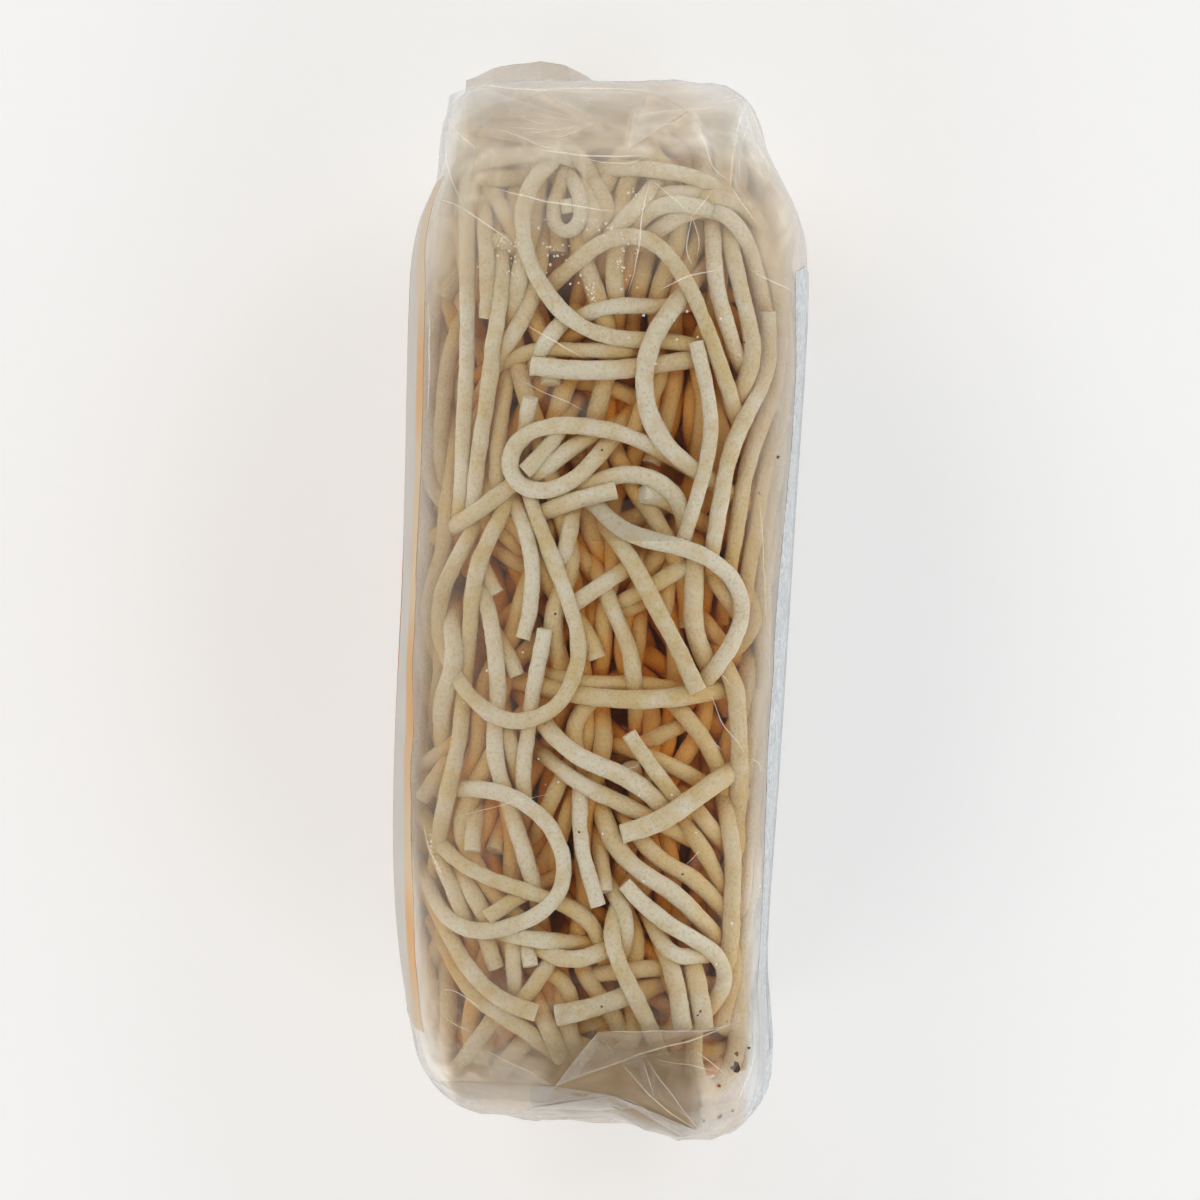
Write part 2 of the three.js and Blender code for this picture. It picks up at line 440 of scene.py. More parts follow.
    def outward(self, grid: Points) -> Points:
        """Gives the outward direction at each point of a grid of skin points.

        Args:
            grid: rings of points, from the bottom end to the top end.

        Returns:
            A unit vector for each point.
        """
        direction = np.cross(np.gradient(grid, axis=0), np.gradient(grid, axis=1))
        return direction / np.linalg.norm(direction, axis=-1, keepdims=True)

    def from_above(self, x: Points, y: Points, depth: Points) -> Points:
        """Places what the eye sees at (x, y) on the upper side's plane, at a depth under the film.

        Args:
            x: places across the plane.
            y: places along it.
            depth: how deep each point lies under the film.

        Returns:
            One point a row, moved towards the middle as its depth asks.
        """
        z = np.full(np.shape(x), self.pack_width)
        for _ in range(3):
            spread = (CAMERA_CLEARANCE + self.pack_width - z) / CAMERA_CLEARANCE
            z = self.ceiling(x * spread, y * spread + self.shift) - depth
        spread = (CAMERA_CLEARANCE + self.pack_width - z) / CAMERA_CLEARANCE
        return np.stack([x * spread, y * spread + self.shift, z], axis=-1)


SKIN = BagSkin()


# ---------------------------------------------------------------------------------------------
# Finishes
# ---------------------------------------------------------------------------------------------

@dataclass(frozen=True)
class Finish:
    """What a surface is made of; each kind grows its own shader."""

    name: str = ""

    def surface(self, tree: Tree) -> Node:
        """Grows the shader and gives its last node."""
        raise NotImplementedError

    def build(self) -> Material:
        """Makes the material.

        Returns:
            The material, with the shader that its surface grows.
        """
        material = bpy.data.materials.new(self.name)
        material.use_nodes = True
        material.node_tree.nodes.clear()
        add_node(material.node_tree, "OutputMaterial", {
            "Surface": self.surface(material.node_tree)})
        return material


@dataclass(frozen=True)
class DriedNoodleDough(Finish):
    """Extruded egg and wheat dough, steamed and air-dried: matt, floury, a warm straw colour.

    It gives the eye pale straw strands with small blisters, a slightly darker tone from strand to
    strand, and slightly paler cut ends. Its colour also holds painted shade: a tan, then a deep
    orange brown, the deeper a point lies in the block and the more strands lie over it, and a
    darker brown in the small hollows of its bump.
    """

    name: str = "dried_noodle_dough"
    pale: str = "#F0E8D2"
    deep: str = "#E0CA98"
    # Painted shade: straw for strands part way into the block or under others, and the next colour
    # for those deep inside it
    straw: str = "#E5C283"
    depth_shade: str = "#F2A23A"
    cut: str = "#F1E9D4"
    # Painted shade in the small hollows of the bump
    hollow_colour: str = "#B99355"
    shade_range: tuple[float, float] = (0.3, 0.62)
    hollow_darkening: float = 0.4
    roughness: float = 0.7
    blotch: float = 5.0
    grain: float = 0.55
    glow: float = 0.3
    glow_reach: tuple[float, float, float] = (1.5, 0.75, 0.3)

    def surface(self, tree: Tree) -> Node:
        """Grows the shader.

        Args:
            tree: the material's node tree.

        Returns:
            The shader's last node.
        """
        place = add_node(tree, "TexCoord").outputs["Object"]
        tone, depth_shade, cut = (
            add_node(tree, "Attribute", attribute_name=name).outputs["Fac"]
            for name in ("tone", "depth_shade", "cut"))
        blotches = add_node(tree, "TexNoise", {
            "Vector": place, "Scale": per_mm(self.blotch), "Detail": 4.0, "Roughness": 0.6})
        mixed = add_node(tree, "Math", {0: blotches, 1: tone}, operation="ADD")
        colour = add_node(tree, "ValToRGB", {"Fac": mixed})
        for stop, at, shade in zip(colour.color_ramp.elements, self.shade_range,
                                   (self.deep, self.pale)):
            stop.position, stop.color = at, linear(shade)
        # Painted shade: straw, then a deep brown, the deeper a point lies and the more strands lie
        # over it
        mid_shade_share = add_node(tree, "MapRange", {"Value": depth_shade, "From Max": 0.55})
        deep_shade_share = add_node(tree, "MapRange", {"Value": depth_shade, "From Min": 0.5, "From Max": 0.95})
        grain = add_node(tree, "TexNoise", {
            "Vector": place, "Scale": per_mm(self.grain), "Detail": 3.0, "Roughness": 0.65})
        # Painted shade: darker where the grain that raises the bump dips
        hollow_shade = add_node(tree, "MapRange", {
            "Value": grain, "From Min": 0.5, "From Max": 0.28, "To Max": self.hollow_darkening})
        for share, over in ((mid_shade_share, self.straw), (deep_shade_share, self.depth_shade), (cut, self.cut),
                            (hollow_shade, self.hollow_colour)):
            colour = add_node(tree, "Mix", {0: share, 6: colour, 7: linear(over)}, data_type="RGBA")
        bump = add_node(tree, "Bump", {"Strength": 1.0, "Distance": 0.4 * MM, "Height": grain})
        return add_node(tree, "BsdfPrincipled", {
            "Base Color": colour, "Roughness": self.roughness, "IOR": 1.45,
            "Specular IOR Level": 0.12, "Normal": bump, "Subsurface Weight": self.glow,
            "Subsurface Scale": MM, "Subsurface Radius": self.glow_reach})


@dataclass(frozen=True)
class ClearFilm(Finish):
    """Blown polypropylene film, crumpled by hand: glossy, clear, with a faint milky haze.

    It gives the eye soft glare on its slopes and a grey-white veil where it is doubled or folded.
    The veil also holds painted light: sheen where the film is seen at a slant, a glare patch, and
    light in the gaps near the top end. Its tint runs from cool white to a brown that is painted
    shade over the hollows, the walls and the bottom end. The veil and its tint come from the mesh,
    point by point.
    """

    name: str = "clear_film"
    haze: str = "#F8ECD8"
    chill: str = "#F1F5F8"
    # The brown of the painted shade in the milk
    shade_tint: str = "#98805F"
    through: float = 0.1
    roughness: float = 0.16
    gloss: float = 0.02
    streak: float = 14.0

    def surface(self, tree: Tree) -> Node:
        """Grows the shader.

        Args:
            tree: the material's node tree.

        Returns:
            The shader's last node.
        """
        place = add_node(tree, "TexCoord").outputs["Object"]
        veil, shade_tint = (
            add_node(tree, "Attribute", attribute_name=name).outputs["Fac"]
            for name in ("veil", "shade_tint"))
        streaks = add_node(tree, "TexNoise", {
            "Vector": place, "Scale": per_mm(self.streak), "Detail": 3.0, "Distortion": 1.2})
        uneven = add_node(tree, "MapRange", {
            "Value": streaks, "From Min": 0.3, "From Max": 0.7, "To Min": 0.72, "To Max": 1.28})
        amount = add_node(tree, "Math", {0: veil, 1: uneven}, operation="MULTIPLY", use_clamp=True)
        # The tint: above 0 towards the brown painted shade, below 0 towards cool white
        chilled = add_node(tree, "Math", {0: shade_tint, 1: -1.0}, operation="MULTIPLY")
        tint = add_node(tree, "Mix", {
            0: chilled, 6: linear(self.haze), 7: linear(self.chill)}, data_type="RGBA")
        tint = add_node(tree, "Mix", {0: shade_tint, 6: tint, 7: linear(self.shade_tint)}, data_type="RGBA")
        dimmed = add_node(tree, "Mix", {
            0: self.through, 6: (0, 0, 0, 1), 7: tint}, data_type="RGBA")
        milk = add_node(tree, "AddShader", {
            0: add_node(tree, "BsdfDiffuse", {"Color": tint}),
            1: add_node(tree, "BsdfTranslucent", {"Color": dimmed})})
        clear = add_node(tree, "BsdfTransparent", {"Color": (0.985, 0.985, 0.98, 1)})
        body = add_node(tree, "MixShader", {0: amount, 1: clear, 2: milk})
        # A thin sheet reflects the same from either of its sides, and more at a slant
        slant = add_node(tree, "LayerWeight", {"Blend": 0.5}).outputs["Facing"]
        steep = add_node(tree, "Math", {0: slant, 1: 5.0}, operation="POWER")
        share = add_node(tree, "Math", {
            0: steep, 1: 1 - self.gloss, 2: self.gloss}, operation="MULTIPLY_ADD")
        shine = add_node(tree, "BsdfGlossy", {"Roughness": self.roughness})
        return add_node(tree, "MixShader", {0: share, 1: body, 2: shine})


@dataclass(frozen=True)
class CreaseWhiteningAndGlint(Finish):
    """The same film along sharp folds: pale lines of whitened film and painted glint."""

    name: str = "crease_whitening_and_glint"
    cover: float = 0.22

    def surface(self, tree: Tree) -> Node:
        """Grows the shader.

        Args:
            tree: the material's node tree.

        Returns:
            The shader's last node.
        """
        white = add_node(tree, "AddShader", {
            0: add_node(tree, "BsdfDiffuse", {"Color": (0.9, 0.9, 0.88, 1)}),
            1: add_node(tree, "BsdfTranslucent", {"Color": (0.5, 0.5, 0.48, 1)})})
        return add_node(tree, "MixShader", {
            0: self.cover, 1: add_node(tree, "BsdfTransparent"), 2: white})


@dataclass(frozen=True)
class FloorBoard(Finish):
    """Matt white studio board: an even pale ground with no grain that the eye could see."""

    name: str = "studio_board"
    colour: str = "#F4F4F3"
    glow: float = 0.25

    def surface(self, tree: Tree) -> Node:
        """Grows the shader.

        Args:
            tree: the material's node tree.

        Returns:
            The shader's last node.
        """
        return add_node(tree, "BsdfPrincipled", {
            "Base Color": linear(self.colour), "Roughness": 0.9,
            "Emission Color": linear(self.colour), "Emission Strength": self.glow})


# ---------------------------------------------------------------------------------------------
# Strands
# ---------------------------------------------------------------------------------------------

class StrandLot(Enum):
    """Which mesh a strand goes into, and how finely that mesh is made."""

    SHOWN = ("shown_strands", 1.0, 12)
    UNDER = ("under_strands", 1.5, 10)
    OUTER = ("outer_strands", 2.2, 8)

    def __init__(self, piece: str, spacing: float, sides: int) -> None:
        """Keeps what tells one lot from another.

        Args:
            piece: the piece's name.
            spacing: the spacing of the rings along a strand.
            sides: each ring's number of sides.
        """
        self.piece = piece
        self.spacing = spacing
        self.sides = sides


class Ends(Enum):
    """How a strand's two ends look: a cut end shows, any other end dives under its neighbours."""

    DIVE = (False, False)
    FIRST = (True, False)
    LAST = (False, True)
    BOTH = (True, True)


@dataclass(frozen=True)
class Route:
    """A strand that shows on the upper side, laid as the eye sees it on that plane."""

    path: tuple[tuple[float, ...], ...]
    level: float = 0.0
    width: float = 3.1
    ends: Ends = Ends.DIVE


DIVE, FIRST, LAST, BOTH = Ends.DIVE, Ends.FIRST, Ends.LAST, Ends.BOTH

# The upper half, above the large flat ring
UPPER_ROUTES = (
    Route(((-8.5, 72.8), (-11, 70.5), (-12.6, 67), (-13.1, 63), (-12.7, 59.5), (-11.7, 56),
           (-10.2, 53), (-8.4, 50.3), (-6, 47.6), (-3.5, 45.6), (0, 44.1), (4, 43.5),
           (8, 43.3, 0.9), (12, 43.2, 0.8), (15.5, 42.3, 1))),
    Route(((14.5, 51.8, 1), (12.5, 49.3), (10.3, 46.3), (8.6, 43.3), (7.6, 40), (7.2, 36.5),
           (7.5, 33.3), (8.3, 30), (9.6, 27.5), (11.5, 25), (14, 23), (16.8, 21)), 0, 3.4),
    Route(((-8.3, 52.3, 1.2), (-5, 55.3, 1), (-2, 58, 0.6), (0.5, 60), (4, 61), (7.5, 60.8),
           (10.5, 58.5), (13.3, 55), (15.3, 51.5), (17, 47.5), (18.5, 43.5), (19.8, 40),
           (21.2, 36), (22, 33), (22.8, 30.3, 1)), 0.05),
    Route(((28, 48.2), (28.2, 44), (28.4, 40.5), (27.8, 37.5), (26.6, 34.5), (25, 32),
           (23.8, 29.8), (22.3, 26.5), (21.2, 22.5), (20.3, 18), (19.7, 14), (19.1, 10.5),
           (18.7, 8, 0.8)), 0, 3.0, FIRST),
    Route(((16, 43.1), (16.6, 40), (17.4, 37), (18.2, 34), (18.6, 30), (18.5, 27), (17.9, 23.5),
           (17, 20), (16, 17), (14.9, 13.5, 0.4), (14, 10.5, 1)), 0, 2.9, FIRST),
    Route(((18.9, 61, 0.8), (18.9, 57), (19.3, 53), (20, 49.5), (21.3, 45.5), (22.5, 41.5),
           (23.8, 38.3), (24.9, 37.5)), 0.25, 3.2),
    Route(((21.3, 61, 0.8), (22.3, 57), (23.2, 53), (24.1, 49), (25, 45), (25.7, 41.5),
           (25.4, 38.8), (24.6, 37.4)), 0.2, 3.2),
    Route(((17.5, 66.8), (20.5, 66.9), (23.5, 66), (26, 63.5), (28, 60.3), (29.3, 57),
           (30.2, 53), (31, 48.5), (31.5, 44), (31.7, 40), (31.3, 36), (30.8, 31.5), (29, 27),
           (27.8, 23), (26.8, 18), (26.2, 14), (25.6, 10), (25, 7), (24.6, 4)), 0.8, 3.0),
    Route(((8.5, 66.8), (12, 68), (16, 67.5), (19.5, 66.5)), 1),
    Route(((11, 62.5), (13, 64), (16, 65.3), (19, 65.3), (21.5, 63.8), (23.5, 61.5), (25, 58.5),
           (26, 55), (26.9, 51), (27.5, 48)), 1),
    Route(((26.5, 61), (28, 57.5), (29.3, 53.5), (29.8, 50), (30.2, 46), (30.3, 42),
           (30, 38.5), (29.3, 35.5), (28.2, 32), (26, 27), (24.8, 23.5), (24, 20), (23.3, 16),
           (22.8, 12), (22.3, 9), (21.8, 6)), 0.9, 3.0),
    Route(((5, 71.7), (8, 71.8), (12, 71.2), (15.5, 70.5), (17.8, 69.3)), 0.6),
    Route(((6, 63), (8, 65.3), (11.5, 66.2), (15, 65.9), (18, 65)), 0.6),
    Route(((2.5, 61.5), (5.5, 64.3), (8, 67.3)), 1),
    Route(((9, 63), (11, 63.5), (13, 62.5)), 2),
    Route(((-3.5, 47), (-1, 48.3), (2, 48.9), (5, 49), (9, 48.8), (12, 48.8), (14.3, 49.3)), 1),
    Route(((-11.5, 38.9), (-7, 38.3), (-2, 38), (3, 38.2), (8, 38.9), (12, 39.6), (16, 40.3)),
          1.1, 3.6, FIRST),
    Route(((-2.5, 36.3), (1.5, 35.7), (5, 34.3), (6.5, 33)), 2),
    Route(((-16, 39.5), (-12.5, 41), (-9, 41.8), (-5, 41.5), (-1, 41.3), (3, 41.5),
           (6.5, 41.5)), 1.4),
    Route(((14, 35), (12.8, 32), (11.8, 29), (11, 27)), 2),
    Route(((15.8, 36.5), (15.3, 33), (15, 30), (15.2, 27.5), (16, 24.5)), 2),
    Route(((0.5, 30), (3, 32.5), (6, 35)), 3),
    Route(((-3.8, 49), (-3, 53), (-1.5, 57), (0, 59.5)), 2),
    Route(((-9.8, 41.5), (-8, 44.5), (-6, 46.5)), 1),
    Route(((-22.2, 64, 0.6), (-22.2, 60), (-22.1, 55), (-22.2, 50), (-22.1, 45), (-22.2, 40),
           (-22.4, 35), (-22.7, 30), (-22.9, 26), (-23, 21), (-23.3, 17), (-23.5, 14.3, 1)),
          0, 3.0),
    Route(((-19, 61, 0.8), (-18.9, 57), (-18.6, 53), (-18.7, 50), (-18.9, 47)), 0, 3.1, LAST),
    Route(((-16.5, 57.5, 0.6), (-16.3, 53), (-16.6, 49.5), (-17.3, 46), (-17.9, 42),
           (-18.2, 38), (-18.7, 34), (-19.4, 30), (-19.9, 26.5), (-20.5, 22), (-21, 17.5),
           (-21.2, 14.5, 1))),
    Route(((-24.3, 57.5), (-26.2, 54), (-27.8, 50), (-28.3, 45), (-28.5, 40), (-28.6, 35),
           (-28.7, 30), (-28.7, 24), (-28.2, 19), (-26.8, 16), (-24.5, 14.8)), 1),
    Route(((-24, 43.5), (-25.2, 40), (-25.8, 36), (-26, 32), (-26.5, 28), (-26.5, 24),
           (-26, 20), (-24.8, 17.5)), 1.6),
    Route(((-26, 66), (-27.3, 62), (-28, 57), (-28.8, 52)), 1.6),
    Route(((-10.3, 54.5), (-10.8, 51.5), (-12, 48.3), (-13.8, 45), (-15.7, 42), (-17, 39.5)),
          1),
    Route(((-16.5, 50.5), (-13.5, 52.3), (-11, 54)), 2),
    Route(((-11.5, 33.7), (-12.3, 31), (-12.5, 28)), 1, 3.1, FIRST),
    Route(((-15.5, 36.5), (-16, 33), (-16.8, 29), (-17, 25), (-17.2, 20)), 1),
    Route(((-25, 69.5, 1), (-23, 71.8), (-20, 73), (-16, 73.7), (-12, 74.2), (-8, 74.2),
           (-5, 73.3, 1)), 0.5),
    Route(((-11, 77.2, 1), (-8, 76.9), (-5.5, 75.3), (-3.5, 73.3), (-2, 71.3, 1)), 0.3),
    Route(((-4.5, 75, 1), (-2, 76.3), (1, 76.9), (4, 76.2, 1)), 0.3),
    Route(((-5.4, 72.4), (-6.3, 69), (-7.6, 66), (-8.3, 63.3), (-7.4, 60.9), (-4.9, 60.3),
           (-3, 61.8), (-2.6, 64.2), (-3.3, 67), (-4.6, 69.8)), 1.1, 2.9),
    Route(((-3.4, 70.4), (-1.5, 67.8), (-0.3, 65), (-0.2, 62.5), (-1.9, 60.2)), 1.3),
    Route(((-0.9, 69), (1, 66.2), (1.6, 63.5), (0.7, 61.2), (-0.8, 59.8)), 1.6),
    Route(((-5.6, 66.8), (-5.2, 64.4)), 0.8, 2.6, BOTH),
    Route(((-16.5, 65.5), (-15, 63), (-14, 60.5)), 1),
    Route(((-19.3, 57), (-18.8, 60), (-17, 61), (-15.5, 59.5)), 1),
    Route(((-20, 70.3), (-16, 70), (-12.5, 70.5)), 1.3),
    Route(((-24, 62.5), (-23.2, 63.5), (-22.8, 60)), 0.6),
)

# The large flat ring and what lies round it, down to the round loop on the left
MIDDLE_ROUTES = (
    Route(((16, 21.5, 0.6), (12, 24), (8, 26), (5, 27.5), (0, 28.6), (-5, 29.3), (-10, 28.9),
           (-13.5, 27.2), (-15.3, 24.5), (-15.5, 21.5), (-14.5, 19.3), (-12, 18), (-9.5, 17.8),
           (-6.5, 18.5), (-4, 20), (-1.5, 22.5, 0.4), (0.5, 25, 0.8), (2, 27, 1.1)), 0, 3.2),
    Route(((-6.5, 28.5, 1.1), (-8, 26), (-10, 23.5), (-12.5, 21.2)), 0.9, 3.1, LAST),
    Route(((-1, 27.5), (-5.5, 25), (-8, 22.7), (-11, 20.5)), 1.1),
    Route(((-2.5, 19, 1), (0, 20), (3, 21), (6, 21.2), (9, 20.3), (12, 18.3), (14, 15.8),
           (14.5, 13), (14.3, 11, 1)), 0.4, 3.2),
    Route(((-8.2, 15.2, 1), (-5, 16.5), (-1, 17.5), (1.5, 17.9), (2.8, 18.3)), 0.1, 3.3, LAST),
    Route(((7, 17.7), (9, 17.5), (11, 16.8), (13, 15.5)), 1, 3.4, FIRST),
    Route(((4, 13), (8, 14.5), (12, 16.5)), 1.8, 3.6),
    Route(((-2, 17, 1), (-0.5, 16), (1.5, 13), (3.5, 11.5), (6, 10.6), (9, 9.8), (12, 9.2),
           (15, 8.5), (18, 7.2), (21, 5), (23.3, 2), (24, -1), (23.6, -4), (22, -7.5),
           (20, -10.5), (18, -13, 0.8)), 0, 3.2),
    Route(((27.5, 1.8), (28, 6)), 1.2, 3.0, FIRST),
    Route(((15.7, 6), (15.6, 2), (15.5, -1.5), (15.3, -4), (16.2, -7), (17.5, -10)), 0.9, 3.5),
    Route(((2, 11, 1), (3.5, 9), (5.5, 6.5), (7, 3.5), (8.7, 0), (10.3, -3), (12, -6),
           (13.5, -9), (15, -12.5), (16.3, -15.3)), 0, 3.3, LAST),
    Route(((-4.8, -1), (-2, 0.8), (1, 2.8), (4, 5, 1)), 0.3, 3.1, FIRST),
    Route(((3, -0.8), (6, 0.8), (9.5, 2.8), (13, 5)), 1.3),
    Route(((-29.4, 15), (-29.3, 11), (-29.6, 7), (-30.3, 3.5), (-31, 0)), 0.4, 3.0, FIRST),
    Route(((-28.5, 10, 1), (-25, 12), (-21, 14.3), (-17.5, 17), (-15, 18.8, 1)), 0.45, 3.3),
    Route(((-15.5, 16, 1.2), (-17.5, 12), (-19.3, 8.5), (-20.6, 5), (-21.3, 1), (-21.5, -4),
           (-22, -8), (-22.4, -12), (-22.8, -15, 0.8), (-23, -18), (-23.2, -22), (-24, -26),
           (-24.8, -30), (-25.8, -34), (-26.5, -38), (-26.8, -40, 1)), 0.5),
    Route(((-12, 18, 1.1), (-10.7, 14), (-9, 10), (-7.5, 6), (-6, 2), (-4.8, -1.5), (-3.8, -5),
           (-3.4, -9), (-4.2, -13), (-6, -16.5), (-9, -19.2), (-14, -20.6), (-17.5, -19.6),
           (-20.5, -17.5), (-23, -14.5), (-25.6, -10), (-26.9, -5), (-26.9, 0), (-25, 4.5),
           (-23, 8.5), (-21, 11.8, 1)), 0, 3.0),
    Route(((-13.3, 14, 1), (-11.8, 10), (-11.2, 6), (-11.2, 2), (-11.6, -2), (-12.9, -6.5)),
          0.4, 3.1, LAST),
    Route(((-4.7, 14), (-5, 11), (-5.8, 8.5), (-6.2, 7)), 1),
    Route(((-7, 6), (-9, 3), (-12, 0), (-15, -2.5), (-16.5, -3.5)), 2),
    Route(((-4.2, 9), (-2.5, 6.3), (-1, 4)), 2),
    Route(((-17.5, 9), (-14.5, 6.8), (-12.8, 5.5)), 2),
    Route(((-16.5, 11.5), (-13.5, 8.5)), 2),
    Route(((-20, 6), (-18.7, 3.2), (-17.2, 0.8)), 1, 3.1, LAST),
    Route(((-25, 10), (-21, 11.5)), 2),
    Route(((-19.5, 2), (-17.9, -5), (-17.3, -10), (-16.9, -15), (-17, -18, 1),
           (-17.5, -21.5, 0.8), (-17.7, -25), (-17, -29), (-15.5, -33), (-14, -38),
           (-12.3, -43), (-11.3, -47)), 0.4),
    Route(((-15.3, -22), (-14.5, -26), (-13.5, -30)), 1.3),
    Route(((-9.2, -4.8), (-9.6, -8), (-10.6, -12), (-11.3, -15), (-11.5, -18.5, 1),
           (-11.8, -22, 0.6), (-12.5, -25), (-13, -28), (-12.8, -31, 1)), 0.3, 3.1, FIRST),
    Route(((-16.5, -7), (-15, -9.5), (-13.8, -12.7)), 1, 3.0, LAST),
    Route(((-6, -3), (-6.4, -7), (-7.5, -10.5), (-8.5, -13.5)), 2),
    Route(((-8.5, -14.5, 1), (-4, -15.5, 0.9), (0, -16.3), (5, -16.6), (10, -16.5),
           (14.5, -15.8, 0.6)), 0.2, 3.6),
    Route(((-6, -13.2), (-2, -14), (3, -14), (7, -14), (11, -15), (14, -15.3)), 1.1),
    Route(((-2.5, -17.8), (-4.8, -20), (-5, -22.5), (-4, -25)), 1),
    Route(((-9.5, -20.5, 0.8), (-8, -22.5), (-5, -25.3), (-1, -27.3), (3, -28.8), (7, -31),
           (10, -34, 1)), 0.1, 3.5),
    Route(((-5.5, -29), (-3, -31), (1, -32.5), (5, -34.5), (8, -36)), 1),
    Route(((4.8, -22.2), (7, -25.5), (9.5, -29), (12, -32.3, 1)), 0, 3.0, FIRST),
    Route(((12.5, -17.5), (15, -20), (17.5, -23.5), (19.5, -27), (20.3, -30)), 1),
    Route(((21, -11, 1), (22.3, -13), (22.9, -17), (23, -21), (23.3, -25), (23.3, -30),
           (22.9, -34.5, 1)), 0.2, 3.4),
    Route(((26.6, -15.3), (26, -18), (25.5, -21), (25, -24, 1)), 0.3, 3.0, FIRST),
    Route(((2, -24), (7, -25.5), (12, -27.5), (16.5, -30)), 2),
    Route(((9, -23), (12, -21.5)), 2),
    Route(((1, 1), (2.5, -2.5), (4.3, -6.5), (5.5, -10), (5.7, -13)), 1),
    Route(((2, -2), (5, -1.5), (8, 0.3)), 1.8),
    Route(((6.5, -2.5), (6.5, -6), (6, -9)), 1.6),
    Route(((17.5, 5.5), (19.5, 2.5), (21, 0.5)), 1.6),
    Route(((18.5, -5), (21, -8)), 2),
)

